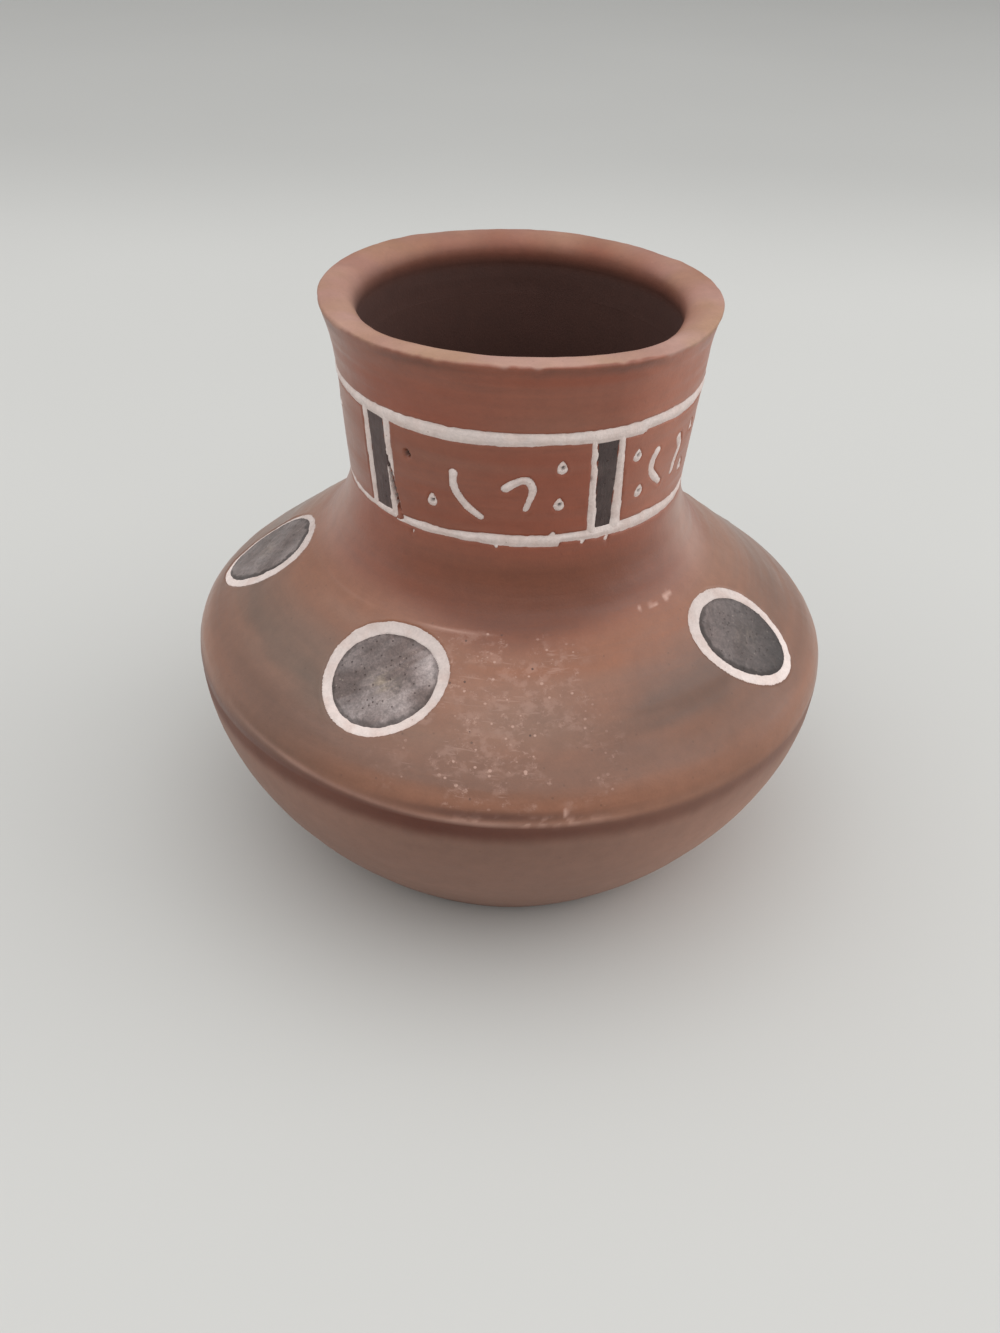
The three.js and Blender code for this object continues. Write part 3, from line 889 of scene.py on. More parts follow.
def shoulder_tint(wall):
    """Tan and orange clay with a belt of smoke, browner and rustier towards the keel, and a painted highlight
    at the front.
    """
    angle, height, streak = wall.angle, wall.uneven_height, wall.streak
    warm = 0.3 + 0.5 * wall.patch + 0.3 * streak + 0.5 * bell(angle, *ORANGE_SIDE)
    tint = mix(SHOULDER_CLAY, ORANGE_CLAY, np.clip(warm, 0, 1))
    # A painted highlight at the front of the shoulder
    tint = tint * (1 + 0.12 * bell(angle, *HIGHLIGHT_FRONT) * bell(height, 50, 6))[..., None]
    tint = tint * (1 - 0.14 * bell(angle, *BROWN_FRONT) * ramp(height, 48, 46))[..., None]
    smoke = mix(SMOKED_CLAY, BROWN_SMOKE, stretch(angle, *BROWNER_SMOKE))
    tint = mix(tint, smoke, smoke_on(wall))
    tint = mix(tint, RUST_CLAY, ramp(height, *RUST_HEIGHTS) * (0.85 + 0.15 * streak))
    tint = mix(tint, BROWNED_CLAY, (0.75 + 0.2 * streak) * bell(height, *BROWNED_RING))
    for shade, strength, heights, side in BROWNED_SIDES:
        tint = mix(tint, shade, strength * ramp(height, *heights) * bell(angle, *side))
    return mix(tint, KEEL_CLAY_AND_LIP_SHADE, bell(wall.above_keel, 1.6, 0.9) * bell(angle, *KEEL_FRONT))


def bowl_tint(wall):
    """Bare clay, with painted light low down at the right and a little painted shade under the front of the
    keel.
    """
    # Painted light low down at the right, and painted shade under the front of the keel
    light_and_shade = 0.5 * stretch(wall.angle, *LIT_BOWL_RIGHT) * ramp(wall.height, 38, 24)
    light_and_shade -= 0.14 * bell(wall.height, 33, 5) * bell(wall.angle, *SHADED_BOWL_FRONT)
    return BARE_CLAY * (1 + 0.06 * wall.patch + 0.01 * wall.streak + light_and_shade)[..., None]


def lip_tint(wall):
    """Mottled pink and tan clay, browner away from the front."""
    tan = np.clip(0.4 + 0.8 * noise(wall.even, 8, 51) + 0.4 * noise(wall.even, 3, 52), 0, 1)
    brown = np.clip(0.35 - 0.35 * wall.facing + 0.35 * noise(wall.even, (6, 6, 3), 53), 0, 1)
    return mix(mix(LIP_CLAY, TAN_CLAY, tan), BROWN_CLAY, brown)


def clay_tint(wall):
    """Colours of the clay from its zones, smoke and wear, with painted highlights and painted shade."""
    # The ridge and the seam are painted paler partly as highlights; the chips and scuffs are wear
    worn_and_highlit = 0.45 * wall.ridge + 0.6 * wall.chips + 0.6 * wall.seam + 0.7 * scuffs_on(wall)
    tint = mix(shoulder_tint(wall), neck_tint(wall), wall.neck)
    tint = mix(tint, bowl_tint(wall), wall.bare)
    tint = mix(tint, BAND_CLAY, wall.band * (0.95 + 0.05 * wall.patch))
    # Painted shade under the lip
    tint = mix(tint, KEEL_CLAY_AND_LIP_SHADE, 0.7 * wall.shade_under_lip)
    tint = mix(tint, lip_tint(wall), wall.lip)
    tint = mix(tint, WORN_AND_HIGHLIT_CLAY, np.clip(worn_and_highlit, 0, 1))
    tint = mix(tint, INSIDE_CLAY, wall.inside)
    return mix(tint, HOLE_SHADE, ramp(wall.sunk, CUT_DEPTH, HOLE_DEPTH))


def clay_polish(wall):
    """How smooth the clay was rubbed, from 0 to 1: most on the shoulder and least inside."""
    off_neck = 1 - wall.neck
    polish = 0.7 + 0.15 * off_neck - 0.35 * wall.bare - 0.3 * wall.band - 0.4 * wall.chips - 0.4 * wall.lip
    dull_right = bell(wall.angle, *DULL_RIGHT) * ramp(wall.uneven_height, 53, 46)
    polish -= 0.35 * off_neck * (1 - wall.bare) * dull_right
    polish -= 0.5 * wall.inside
    return np.clip(polish + 0.12 * wall.streak * (1 - 0.9 * wall.bare), 0, 1)


def grit_and_glints_at(points):
    """How much of the clay's pale grit shows: a little over all the shoulder, and painted glints clustered at
    its front.
    """
    height = points[..., 2]
    angle = np.degrees(np.arctan2(points[..., 0], -points[..., 1]))
    on_shoulder = ramp(height, KEEL[1], KEEL[1] + 5) * ramp(height, COLLAR[1] + 1, COLLAR[1] - 2)
    clusters = ramp(noise(points, (7, 7, 4), 46) + 0.6 * noise(points, (2.5, 2.5, 1.5), 47), -0.6, 0.3)
    # Painted glints, clustered at the front of the shoulder where the highlight falls
    return on_shoulder * (0.12 + 0.88 * bell(angle, *GLINTING_FRONT) * clusters)


SHARP_ANGLE = 65
INSIDE_POLISH = 0.1


def new_piece(name, points, faces, tint, polish, material):
    """A smooth closed mesh from points in millimetres, with colour, polish and grit and painted glints at
    each.
    """
    mesh = bpy.data.meshes.new(name)
    mesh.from_pydata((points.reshape(-1, 3) * MM).tolist(), [], faces)
    paint = np.ones((len(mesh.vertices), 4), np.float32)
    paint[:, :3] = tint.reshape(-1, 3)
    mesh.attributes.new("tint", "FLOAT_COLOR", "POINT").data.foreach_set("color", paint.ravel())
    for attribute, values in (("polish", polish), ("grit", grit_and_glints_at(points))):
        layer = mesh.attributes.new(attribute, "FLOAT", "POINT")
        layer.data.foreach_set("value", values.astype(np.float32).ravel())
    mesh.shade_smooth()
    mesh.set_sharp_from_angle(angle=math.radians(SHARP_ANGLE))
    mesh.materials.append(material)
    piece = bpy.data.objects.new(name, mesh)
    bpy.context.scene.collection.objects.link(piece)
    return piece


def take_place(piece, node):
    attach(piece, BODY)
    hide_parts(node)


def ring_faces(rows, columns, closed):
    """Quads of a turned grid. A closed one joins its last row to its first."""
    index = np.arange(rows * columns).reshape(rows, columns)
    above = np.roll(index, -1, axis=0)
    here, up = (index, above) if closed else (index[:-1], above[:-1])
    quads = np.stack([here, np.roll(here, -1, axis=1), np.roll(up, -1, axis=1), up], axis=-1)
    return quads.reshape(-1, 4).tolist()


def fan_faces(row, pole, columns, facing_up):
    """Triangles from a row of a turned grid to a point on the axis."""
    here = row * columns + np.arange(columns)
    beside = np.roll(here, -1)
    order = [here, beside] if facing_up else [beside, here]
    return np.stack([*order, np.full(columns, pole)], axis=-1).tolist()


def hidden_rows(corners, columns):
    """Rows of the unseen part of a section, with long stretches divided."""
    paths = [evenly(np.array([start, end]), HIDDEN_STEP) for start, end in zip(corners, corners[1:])]
    section = joined(paths)[:, None, :] * np.ones((1, columns, 1))
    return hand_shaped(turned(angles_round(columns) * np.ones(section.shape[:2]), section))


def clay_section(node, corners, material, poles=()):
    """A clay section from its visible rows, the corners of its unseen rest, and any ends on the axis."""
    wall = ClayWall(node)
    columns = COLUMNS[node]
    hidden = hidden_rows(corners, columns)
    rows = np.concatenate([wall.points, hidden])
    tint = np.concatenate([wall.tint, np.broadcast_to(INSIDE_CLAY, hidden.shape)])
    polish = np.concatenate([wall.polish, np.full(hidden.shape[:2], INSIDE_POLISH)])
    count = len(rows)
    faces = ring_faces(count, columns, closed=not poles)
    points, tint, polish = rows.reshape(-1, 3), tint.reshape(-1, 3), polish.ravel()
    if poles:
        faces += fan_faces(0, count * columns, columns, facing_up=False)
        faces += fan_faces(count - 1, count * columns + 1, columns, facing_up=True)
        points = np.concatenate([points, [(0, 0, height) for height in poles]])
        tint = np.concatenate([tint, np.broadcast_to(INSIDE_CLAY, (len(poles), 3))])
        polish = np.append(polish, [INSIDE_POLISH] * len(poles))
    piece = new_piece(f"{node}_clay", points, faces, tint, polish, material)
    sharpen_rows(piece.data, columns, [0, len(wall.points) - 1])
    take_place(piece, node)


def sharpen_rows(mesh, columns, rows):
    """Marks the edges along these rows as sharp, so that the wall is shaded apart from the joint."""
    ends = np.empty(2 * len(mesh.edges), np.int32)
    mesh.edges.foreach_get("vertices", ends)
    first, second = ends.reshape(-1, 2).T // columns
    sharp = np.zeros(len(mesh.edges), bool)
    layer = mesh.attributes["sharp_edge"].data
    layer.foreach_get("value", sharp)
    layer.foreach_set("value", sharp | ((first == second) & np.isin(first, rows)))


def rebate_radius(edge):
    """The radius of the step inside a section's top edge, into which the spigot of the next one drops."""
    return edge[0] - WALL / 2 + LAP_CLEARANCE / 2


def spigot_radius(edge):
    """The outer radius of the spigot that drops inside this edge."""
    return edge[0] - WALL / 2 - LAP_CLEARANCE / 2


KEEL_INSIDE = KEEL[0] - WALL
KEEL_LAP_FOOT = KEEL[1] - LAP_DEPTH
NECK_LAP_FOOT = NECK_TOP - LAP_DEPTH
BORE = COLLAR[0] - COLLAR_SEAT


def bowl_corners():
    rebate = rebate_radius(KEEL)
    turn = at(KEEL_INSIDE, BOWL_TURN_HEIGHT)
    inside = curve(at(KEEL_INSIDE, KEEL_LAP_FOOT), turn, at(BASE_RADIUS - WALL, FLOOR_THICKNESS))
    joint = [at(rebate, KEEL[1]), at(rebate, KEEL_LAP_FOOT)]
    return [*joint, *evenly(inside, HIDDEN_STEP), at(WALL, FLOOR_THICKNESS)]


def shoulder_corners():
    points, normals = outside.section(np.array([STATION["slope"], STATION["collar"] - 0.5]))
    start, end = points - normals * WALL
    along = (end - start) / np.linalg.norm(end - start)
    bore_foot = start + along * (BORE - start[0]) / along[0]
    corner = start + along * (KEEL_INSIDE - start[0]) / along[0]
    turn = curve(corner + along * SHOULDER_EDGE_RUN, corner, at(KEEL_INSIDE, KEEL[1]))
    spigot = spigot_radius(KEEL)
    joint = [at(KEEL_INSIDE, KEEL_LAP_FOOT), at(spigot, KEEL_LAP_FOOT), at(spigot, KEEL[1])]
    return [at(BORE, COLLAR[1]), bore_foot, *evenly(turn, HIDDEN_STEP), *joint]


def neck_corners():
    rebate = rebate_radius(NECK_EDGE)
    inner, spigot = WAIST[0] - WALL, BORE - LAP_CLEARANCE
    foot = COLLAR[1] - LAP_DEPTH
    waist = at(inner, WAIST[1])
    throat = curve(at(NECK_EDGE[0] - WALL, NECK_LAP_FOOT), at(inner, NECK_TOP - THROAT_DEPTH), waist)
    flare = curve(waist, at(inner, COLLAR[1]), at(spigot - WALL, foot))
    inside = evenly(joined([throat, flare]), HIDDEN_STEP / 2)
    joint = [at(rebate, NECK_TOP), at(rebate, NECK_LAP_FOOT)]
    return [*joint, *inside, at(spigot, foot), at(spigot, COLLAR[1])]


def rim_corners():
    spigot = spigot_radius(NECK_EDGE)
    return [at(spigot, NECK_LAP_FOOT), at(spigot, NECK_TOP)]


def add_clay(material):
    clay_section("bowl", bowl_corners(), material, poles=(0, FLOOR_THICKNESS))
    clay_section("shoulder", shoulder_corners(), material)
    clay_section("neck", neck_corners(), material)
    clay_section("rim", rim_corners(), material)


def fill_depth(mark, x, y, points):
    """How deep the top of a fill lies under the wall, with its crumbling and the dark fill that it meets."""
    depth = DARK_FILL_DEPTH if mark.slot == "dark_slip" else FILL_DEPTH
    depth = depth + 0.05 * noise(points, 1.3, 30) + 0.03 * noise(points, 0.45, 31)
    depth = depth - mark.dome * ramp(mark.distance(x, y), 0, -DOME_WIDTH)
    if mark.dark:
        edge = mark.dark(x, y) + 0.18 * noise(points, 1.3, 32) + 0.06 * noise(points, 0.4, 33)
        depth = depth + DARK_EDGE_DROP * ramp(edge, DARK_EDGE, -DARK_EDGE)
    if mark.loss:
        depth = depth + CUT_DEPTH * mark.loss(x, y)
    depth = depth + CUT_DEPTH * ramp(mark.distance(x, y), CUT_START, FILL_MARGIN)
    return np.minimum(depth, FILL_BOTTOM - LEAST_FILL)


def fill_grid(mark):
    """Places across and up over a mark, and which cells of that grid it needs."""
    half_x, half_y = (reach + FILL_MARGIN for reach in mark.reach)
    x = np.linspace(-half_x, half_x, round(2 * half_x / FILL_STEP) + 1)
    y = np.linspace(-half_y, half_y, round(2 * half_y / FILL_STEP) + 1)
    x, y = np.meshgrid(x, y)
    inside = mark.distance(x, y) < FILL_MARGIN
    if mark.node.endswith("_ring"):
        inside &= mark.dark(x, y) > -RING_UNDERLAP
    if mark.node.startswith(CREVICED) and mark.loss:
        inside &= mark.loss(x, y) < FILL_GONE
    cells = inside[:-1, :-1] & inside[1:, :-1] & inside[:-1, 1:] & inside[1:, 1:]
    return x, y, cells


def slab_faces(cells):
    """Closed quads over and under the kept cells of a grid, and down their open sides."""
    rows, columns = cells.shape
    top = np.arange((rows + 1) * (columns + 1)).reshape(rows + 1, columns + 1)
    under = top + top.size
    corners = [(0, 0), (0, 1), (1, 1), (1, 0)]
    here = [top[i : i + rows, j : j + columns] for i, j in corners]
    below = [under[i : i + rows, j : j + columns] for i, j in corners]
    faces = [np.stack(here, -1)[cells], np.stack(below[::-1], -1)[cells]]
    padded = np.pad(cells, 1)
    beside = [padded[:-2, 1:-1], padded[1:-1, 2:], padded[2:, 1:-1], padded[1:-1, :-2]]
    for side in range(4):
        start, end = side, (side + 1) % 4
        wall = np.stack([here[end], here[start], below[start], below[end]], -1)
        faces.append(wall[cells & ~beside[side]])
    return np.concatenate(faces)


def fill_layers(mark, angle, x, y):
    """The top and the underside of a fill, and the colour and polish of its points."""
    station = mark.station + y
    even = outside.place(angle, station, np.zeros_like(y))
    top = hand_shaped(outside.place(angle, station, -fill_depth(mark, x, y, even)))
    under = hand_shaped(outside.place(angle, station, np.full_like(y, -FILL_BOTTOM)))
    return top, under, *slip_paint(mark, x, y, even)


def fill_piece(mark, material):
    x, y, cells = fill_grid(mark)
    radius = outside.section(mark.station + y)[0][..., 0]
    top, under, tint, polish = fill_layers(mark, mark.angle + np.degrees(x / radius), x, y)
    used, faces = np.unique(slab_faces(cells), return_inverse=True)
    points = np.concatenate([top.reshape(-1, 3), under.reshape(-1, 3)])[used]
    tint = np.concatenate([tint.reshape(-1, 3)] * 2)[used]
    polish = np.concatenate([polish.ravel()] * 2)[used]
    piece = new_piece(f"{mark.node}_slip", points, faces.reshape(-1, 4).tolist(), tint, polish, material)
    take_place(piece, mark.node)


def line_piece(mark, material):
    """The fill of a line that goes all the way round, closed by the two end rows of its underside."""
    half = mark.reach[1] + FILL_MARGIN
    rises = np.linspace(-half, half, round(2 * half / FILL_STEP) + 1)
    angle, y = np.meshgrid(angles_round(LINE_COLUMNS), rises)
    top, under, tint, polish = fill_layers(mark, angle, np.radians(angle) * BAND_RADIUS, y)
    ends = [-1, 0]
    points = np.concatenate([top, under[ends]])
    tint = np.concatenate([tint, tint[ends]])
    polish = np.concatenate([polish, polish[ends]])
    faces = ring_faces(len(points), LINE_COLUMNS, closed=True)
    piece = new_piece(f"{mark.node}_slip", points, faces, tint, polish, material)
    take_place(piece, mark.node)


# Slip colours
WHITE_SLIP = colour(230, 215, 209)
STAINED_SLIP = colour(208, 178, 166)
BAR_SLIP = colour(72, 56, 54)
BAR_WEAR = colour(98, 82, 78)
DISC_SLIP = colour(96, 82, 78)
DISC_CLOUD = colour(150, 139, 137)
DISC_EDGE_SHADE_AND_PITS = colour(50, 40, 37)
DISC_RUB = colour(176, 158, 138)

# How smooth the slips are, and how much darker a ring gets with each millimetre up
BAR_POLISH = 0.6
WHITE_POLISH = 0.1
RING_FADE = 0.012

# Where a disc is rubbed and where it is pitted: across and up from its middle, and reach
DISC_RUBBED = (0.4, -0.2, 2.2)
DISC_PITTED = (4, 0.3, 2.4)


def slip_paint(mark, x, y, even):
    """Colour and polish of a fill's points."""
    if mark.node.endswith("_disc"):
        return disc_paint(mark, x, y, even)
    blotch = np.clip(0.3 + 0.8 * noise(even, 2.2, 40) + 0.4 * noise(even, 0.7, 41), 0, 1)
    if mark.slot == "dark_slip":
        return mark.tone * mix(BAR_SLIP, BAR_WEAR, 0.5 * blotch), np.full(x.shape, BAR_POLISH)
    tint = mix(WHITE_SLIP, STAINED_SLIP, 0.35 * blotch)
    if mark.node.endswith("_ring"):
        tint = tint * (1 - RING_FADE * y)[..., None]
    if mark.loss:
        tint = mix(tint, HOLE_SHADE, 0.75 * mark.loss(x, y))
    return tint, np.full(x.shape, WHITE_POLISH)


def disc_edge_shade(mark, x, y, even):
    """How dark a disc's ragged edge is, partly painted shade: most nearest the front, and crisper where it
    has few clouds.
    """
    middle = outside.place(np.array(mark.angle), np.array(mark.station), np.array(0))
    near = ramp(even[..., 1] - middle[1], 3, -5)
    crisp = near * (1 - 0.7 * mark.clouds)
    ragged = 0.35 * noise(even, 1.2, 45) + 0.3 * noise(even, 0.6, 48)
    edge = ramp(mark.distance(x, y) + ragged, -0.4 - 0.8 * near, -0.1 - 0.6 * crisp)
    return edge * (0.45 + (0.4 - 0.2 * mark.clouds) * near)


def disc_paint(mark, x, y, even):
    """A burnished grey disc: cloudy, rubbed pale near its middle, pitted at its right, dark at its edge, with
    painted sheen and shade.
    """
    slant = np.stack([x + y, 5 * (y - x), np.full_like(x, mark.angle)], axis=-1)
    lumps = 0.9 * noise(even, 4.5, 42) + 0.35 * noise(slant, 5, 43)
    clouds = np.clip(0.4 + mark.clouds * lumps, 0, 1)
    across, up, reach = DISC_RUBBED
    rub = bell(np.hypot(x - across, 1.3 * (y - up)), 0, reach) * np.clip(0.5 + noise(slant, 2, 44), 0, 1)
    across, up, reach = DISC_PITTED
    pits = ramp(noise(even, 0.9, 49) + noise(even, 0.5, 50), -0.1, 0.5)
    pitted = bell(np.hypot(x - across, y - up), 0, reach) * pits
    edge = disc_edge_shade(mark, x, y, even)
    # A painted sheen that changes across and up
    tone = mark.tone * (1 + mark.light_and_shade[0] * x + mark.light_and_shade[1] * y)
    tint = tone[..., None] * mix(DISC_SLIP, DISC_CLOUD, 0.8 * clouds)
    tint = mix(tint, DISC_RUB, 0.6 * mark.clouds * rub)
    # Painted shade at the disc's edge, and its pits
    tint = mix(tint, DISC_EDGE_SHADE_AND_PITS, np.maximum(edge, 0.55 * mark.clouds * pitted))
    return tint, np.clip(0.75 + 0.2 * clouds - 0.5 * edge, 0, 1)


def add_fills(materials):
    for mark in marks:
        if mark.node is None:
            continue
        kind = "disc" if mark.node.endswith("_disc") else mark.slot
        make = line_piece if mark.node in ("upper_line", "lower_line") else fill_piece
        make(mark, materials[kind])


# How much of a grain's radius is full
GRAIN_CORE = 0.6


class Shader:
    """A material made from nodes, whose inputs are given as values or as other nodes' outputs."""

    def __init__(self, name):
        self.material = bpy.data.materials.new(name)
        self.material.use_nodes = True
        self.tree = self.material.node_tree
        self.surface = self.tree.nodes["Principled BSDF"]

    def set(self, socket, value):
        if isinstance(value, bpy.types.NodeSocket):
            self.tree.links.new(value, socket)
        else:
            socket.default_value = value

    def add(self, kind, output, inputs, **settings):
        """A new node with these inputs and settings. Returns the named output."""
        node = self.tree.nodes.new(kind)
        for name, value in settings.items():
            setattr(node, name, value)
        for name, value in inputs.items():
            self.set(node.inputs[name], value)
        return node.outputs[output]

    def attribute(self, name, output):
        return self.add("ShaderNodeAttribute", output, {}, attribute_name=name)

    def coordinates(self, size):
        """Object coordinates, scaled to lumps of this many millimetres, which may differ in x, y and z."""
        sizes = size if isinstance(size, tuple) else (size,) * 3
        place = self.add("ShaderNodeTexCoord", "Object", {})
        inputs = {"Vector": place, "Scale": [1 / (length * MM) for length in sizes]}
        return self.add("ShaderNodeMapping", "Vector", inputs)

    def noise(self, size, detail=4.0, roughness=0.55, distortion=0.0):
        inputs = {"Vector": self.coordinates(size), "Scale": 1.0, "Detail": detail, "Roughness": roughness}
        return self.add("ShaderNodeTexNoise", "Fac", inputs | {"Distortion": distortion})

    def grains(self, size, share, radius):
        """1 on round grains, which this share of the cells of this size hold, and 0 between them."""
        node = self.tree.nodes.new("ShaderNodeTexVoronoi")
        self.set(node.inputs["Vector"], self.coordinates(size))
        self.set(node.inputs["Scale"], 1.0)
        dot = self.between(node.outputs["Distance"], radius, radius * GRAIN_CORE)
        draw = self.add("ShaderNodeSeparateColor", "Red", {"Color": node.outputs["Color"]})
        return self.times(dot, self.math("LESS_THAN", draw, share))

    def math(self, operation, first, second, clamp=False):
        return self.add("ShaderNodeMath", 0, {0: first, 1: second}, operation=operation, use_clamp=clamp)

    def times(self, first, second):
        return self.math("MULTIPLY", first, second)

    def plus(self, first, second, clamp=False):
        return self.math("ADD", first, second, clamp)

    def minus(self, first, second):
        return self.math("SUBTRACT", first, second)

    def between(self, value, low, high, start=0.0, end=1.0):
        """A value carried smoothly from low..high to start..end."""
        inputs = {"Value": value, "From Min": low, "From Max": high, "To Min": start, "To Max": end}
        return self.add("ShaderNodeMapRange", "Result", inputs, interpolation_type="SMOOTHSTEP")

    def varied(self, shade, *variations):
        """A colour scaled by values, each of them carried from one range to another."""
        for variation in variations:
            inputs = {"Vector": shade, "Scale": self.between(*variation)}
            shade = self.add("ShaderNodeVectorMath", "Vector", inputs, operation="SCALE")
        return shade

    def covered(self, shade, paint, share, strength):
        """A colour under a paint that covers this share of it. The mix node's colours are inputs 6 and 7."""
        node = self.tree.nodes.new("ShaderNodeMix")
        node.data_type = "RGBA"
        self.set(node.inputs["Factor"], self.times(share, strength))
        self.set(node.inputs[6], shade)
        self.set(node.inputs[7], (*paint, 1))
        return node.outputs[2]

    def dress(self, **inputs):
        """Sets the surface's inputs, named with underscores for their spaces."""
        for name, value in inputs.items():
            self.set(self.surface.inputs[name.replace("_", " ")], value)

    def bump(self, height, depth):
        """A normal from fine relief of this many millimetres."""
        inputs = {"Height": height, "Distance": depth * MM, "Strength": 1.0}
        return self.add("ShaderNodeBump", "Normal", inputs)


GRIT_AND_GLINT = colour(208, 168, 152)
PIT = colour(62, 42, 36)
SLIP_PIT = PIT * 0.6
SLIP_SPECK = STAINED_SLIP * 0.6
CRUMB = colour(196, 182, 168)
CLAY_SHEEN = 0.33


def clay_flecks(shader):
    """Scratches, flakes, pale patches and two sizes of grains, for the pale grit and the painted glints."""
    scratches = shader.between(shader.noise((5, 5, 0.4), detail=2, distortion=0.6), 0.6, 0.72)
    flakes = shader.between(shader.noise((1.6, 1.6, 1.2), detail=6, roughness=0.75), 0.54, 0.68)
    patches = shader.between(shader.noise((2.2, 2.2, 1.5), detail=4, roughness=0.6), 0.48, 0.66)
    flecks = shader.times(scratches, 0.4)
    for more in (
        shader.times(flakes, 0.7), shader.times(patches, 0.3),
        shader.grains((1.1, 1.1, 0.8), 0.14, 0.27), shader.grains((2.6, 2.6, 1.8), 0.35, 0.15),
    ):
        flecks = shader.math("MAXIMUM", flecks, more)
    return flecks


def red_clay():
    """Rubbed clay with a fine grain, strokes along its rings, pale flecks of grit and painted glints, and
    small dark pits.
    """
    shader = Shader("red_clay")
    tint, polish = shader.attribute("tint", "Color"), shader.attribute("polish", "Fac")
    grit_and_glint_share = shader.attribute("grit", "Fac")
    mottle = shader.noise(3.2, detail=6, roughness=0.7)
    grain = shader.noise(0.45, detail=3, roughness=0.6)
    strokes = shader.minus(shader.noise((30, 30, 1.0), detail=3, distortion=0.4), 0.5)
    strokes = shader.plus(shader.times(strokes, shader.between(polish, 0.5, 0.72, 0.1, 1)), 0.5)
    shown = shader.between(grit_and_glint_share, 0.1, shader.between(mottle, 0.3, 0.7, 0.3, 1))
    # Pale flecks of grit, and painted glints where the share is high
    grit = shader.times(clay_flecks(shader), shown)
    pits = shader.times(shader.grains(1.8, 0.4, 0.13), shader.plus(grit_and_glint_share, 0.15, clamp=True))
    shade = shader.varied(tint, (mottle, 0.25, 0.75, 0.92, 1.07))
    shade = shader.varied(shade, (grain, 0.2, 0.8, 0.96, 1.04), (strokes, 0.3, 0.7, 0.96, 1.04))
    shade = shader.covered(shader.covered(shade, GRIT_AND_GLINT, grit, 0.65), PIT, pits, 0.8)
    rough = shader.between(polish, 0, 1, 0.86, 0.36)
    rough = shader.plus(rough, shader.between(strokes, 0.3, 0.7, -0.05, 0.06))
    rough = shader.plus(rough, shader.between(grain, 0.3, 0.7, -0.03, 0.04), clamp=True)
    height = shader.minus(shader.plus(grain, shader.times(strokes, 0.6)), shader.times(pits, 1.2))
    height = shader.plus(height, shader.times(grit, 0.5))
    sheen = shader.between(polish, 0, 1, 0, CLAY_SHEEN)
    shader.dress(Base_Color=shade, Roughness=rough, Normal=shader.bump(height, 0.035))
    shader.dress(Coat_Weight=sheen, Coat_Roughness=0.3)
    return shader.material


def white_slip():
    """Chalky white slip with stained specks."""
    shader = Shader("white_slip")
    grain = shader.noise(0.4, detail=4, roughness=0.65)
    chalk = shader.noise(1.6, detail=3)
    tint = shader.attribute("tint", "Color")
    shade = shader.varied(tint, (chalk, 0.3, 0.7, 0.94, 1.04), (grain, 0.25, 0.75, 0.94, 1.04))
    shade = shader.covered(shade, SLIP_SPECK, shader.grains(1.1, 0.12, 0.16), 0.5)
    rough = shader.between(grain, 0.2, 0.8, 0.8, 0.95)
    shader.dress(Base_Color=shade, Roughness=rough, Normal=shader.bump(shader.plus(grain, chalk), 0.06))
    return shader.material


def dark_slip():
    """Dark slip drawn upwards in streaks, with pits."""
    shader = Shader("dark_bar")
    grain = shader.noise(0.4, detail=4, roughness=0.7)
    streaks = shader.noise((0.5, 0.5, 4), detail=3, distortion=0.5)
    pits = shader.grains(1.2, 0.3, 0.2)
    tint = shader.attribute("tint", "Color")
    shade = shader.varied(tint, (grain, 0.2, 0.8, 0.75, 1.25), (streaks, 0.3, 0.7, 0.88, 1.14))
    shade = shader.covered(shade, SLIP_PIT, pits, 0.6)
    rough = shader.between(grain, 0.3, 0.7, 0.42, 0.6)
    height = shader.minus(shader.plus(grain, streaks), pits)
    shader.dress(Base_Color=shade, Roughness=rough, Normal=shader.bump(height, 0.08))
    return shader.material


def disc_slip():
    """Burnished dark slip: silvery mottling, fine dark pits and pale crumbs of grit."""
    shader = Shader("dark_disc")
    tint, polish = shader.attribute("tint", "Color"), shader.attribute("polish", "Fac")
    grain = shader.noise(0.35, detail=5, roughness=0.75)
    mottle = shader.noise(1.5, detail=5, roughness=0.7, distortion=0.8)
    pits = shader.grains(0.8, 0.5, 0.24)
    crumbs = shader.times(shader.grains(0.6, 0.35, 0.26), shader.between(mottle, 0.5, 0.65))
    shade = shader.varied(tint, (mottle, 0.3, 0.7, 0.75, 1.25), (grain, 0.3, 0.7, 0.76, 1.24))
    shade = shader.covered(shader.covered(shade, SLIP_PIT, pits, 0.6), CRUMB, crumbs, 0.6)
    rough = shader.plus(shader.between(polish, 0, 1, 0.7, 0.35), shader.between(grain, 0.3, 0.7, -0.06, 0.1))
    height = shader.minus(shader.plus(grain, mottle), pits)
    shader.dress(Base_Color=shade, Roughness=rough, Normal=shader.bump(height, 0.1))
    return shader.material


# Stage
FLOOR_COLOUR = colour(206, 206, 203)
FLOOR_SIZE = 4.0
FLOOR_DROP = 0.00005
# Where the floor's painted shade starts and ends as it darkens towards the back, and its tone there
FLOOR_SHADE_FADE = (0.28, 0.5)
FLOOR_FAR_SHADE = 0.84


def floor_material():
    shader = Shader("paper_floor")
    cloud = shader.noise(260, detail=2)
    place = shader.add("ShaderNodeTexCoord", "Object", {})
    depth = shader.add("ShaderNodeSeparateXYZ", "Y", {"Vector": place})
    # Painted shade, darkening the floor towards the back
    far_shade = (depth, *FLOOR_SHADE_FADE, 1, FLOOR_FAR_SHADE)
    shade = shader.varied(tuple(FLOOR_COLOUR), (cloud, 0.3, 0.7, 0.985, 1.01), far_shade)
    shader.dress(Base_Color=shade, Roughness=0.9, Specular_IOR_Level=0.2)
    return shader.material


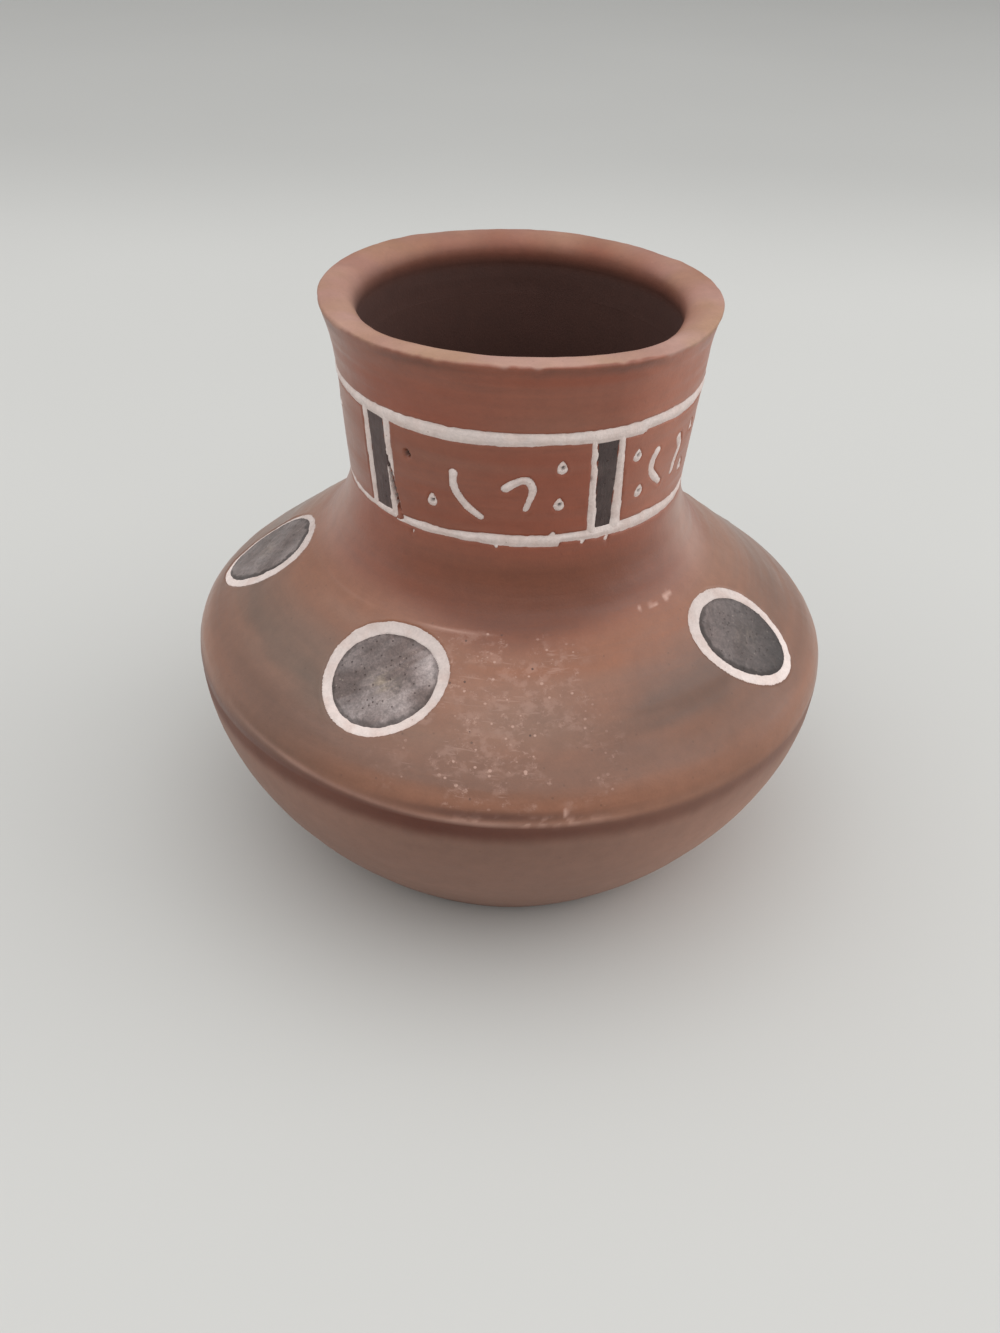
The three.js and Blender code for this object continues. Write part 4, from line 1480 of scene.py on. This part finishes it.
def add_floor():
    half = FLOOR_SIZE / 2
    corners = [(-half, -half), (half, -half), (half, half), (-half, half)]
    mesh = bpy.data.meshes.new("floor")
    mesh.from_pydata([(x, y, -FLOOR_DROP) for x, y in corners], [], [(0, 1, 2, 3)])
    mesh.materials.append(floor_material())
    floor = bpy.data.objects.new("floor", mesh)
    bpy.context.scene.collection.objects.link(floor)


# Light: a broad soft panel overhead, a weak one at each side and an even pale surround. Each panel's place,
# its size across and along, and its power
LIGHT_PANELS = {
    "overhead": (Vector((0.0, -0.1, 0.9)), (1.8, 1.9), 9.0),
    "left": (Vector((-0.9, 0.0, 0.5)), (0.9, 0.9), 1.0),
    "right": (Vector((0.9, 0.0, 0.5)), (0.9, 0.9), 3.0),
}
SURROUND = 0.48


def add_light_panel(name, place, size, power):
    light = bpy.data.lights.new(name, "AREA")
    light.shape = "RECTANGLE"
    light.size, light.size_y = size
    light.energy = power
    panel = bpy.data.objects.new(name, light)
    panel.location = place
    panel.rotation_mode = "QUATERNION"
    panel.rotation_quaternion = (-place).to_track_quat("-Z", "Y")
    bpy.context.scene.collection.objects.link(panel)


def add_light():
    for name, (place, size, power) in LIGHT_PANELS.items():
        add_light_panel(f"{name}_panel", place, size, power)
    world = bpy.data.worlds.new("surround")
    world.use_nodes = True
    background = world.node_tree.nodes["Background"]
    background.inputs["Color"].default_value = (1, 1, 1, 1)
    background.inputs["Strength"].default_value = SURROUND
    bpy.context.scene.world = world


# Camera: in front of the vase and above it, turned a little about each axis
CAMERA_PLACE = Vector((0, -0.2063, 0.1738))
CAMERA_PAN = -0.0070
CAMERA_PITCH = 0.6144
CAMERA_ROLL = 0.0373
CAMERA_LENS = 36.05
CAMERA_SENSOR = 36
CAMERA_CLIP = 0.01


def add_camera():
    data = bpy.data.cameras.new("camera")
    data.sensor_width = CAMERA_SENSOR
    data.lens = CAMERA_LENS
    data.clip_start = CAMERA_CLIP
    camera = bpy.data.objects.new("camera", data)
    bpy.context.scene.collection.objects.link(camera)
    turn = Matrix.Rotation(-CAMERA_PAN, 4, "Z") @ Matrix.Rotation(math.pi / 2 - CAMERA_PITCH, 4, "X")
    camera.matrix_world = Matrix.Translation(CAMERA_PLACE) @ turn @ Matrix.Rotation(CAMERA_ROLL, 4, "Z")
    bpy.context.scene.camera = camera


bpy.context.scene.view_settings.view_transform = "Standard"
add_camera()
add_light()
add_floor()
add_clay(red_clay())
add_fills({
    "white_slip": white_slip(),
    "dark_slip": dark_slip(),
    "disc": disc_slip(),
})
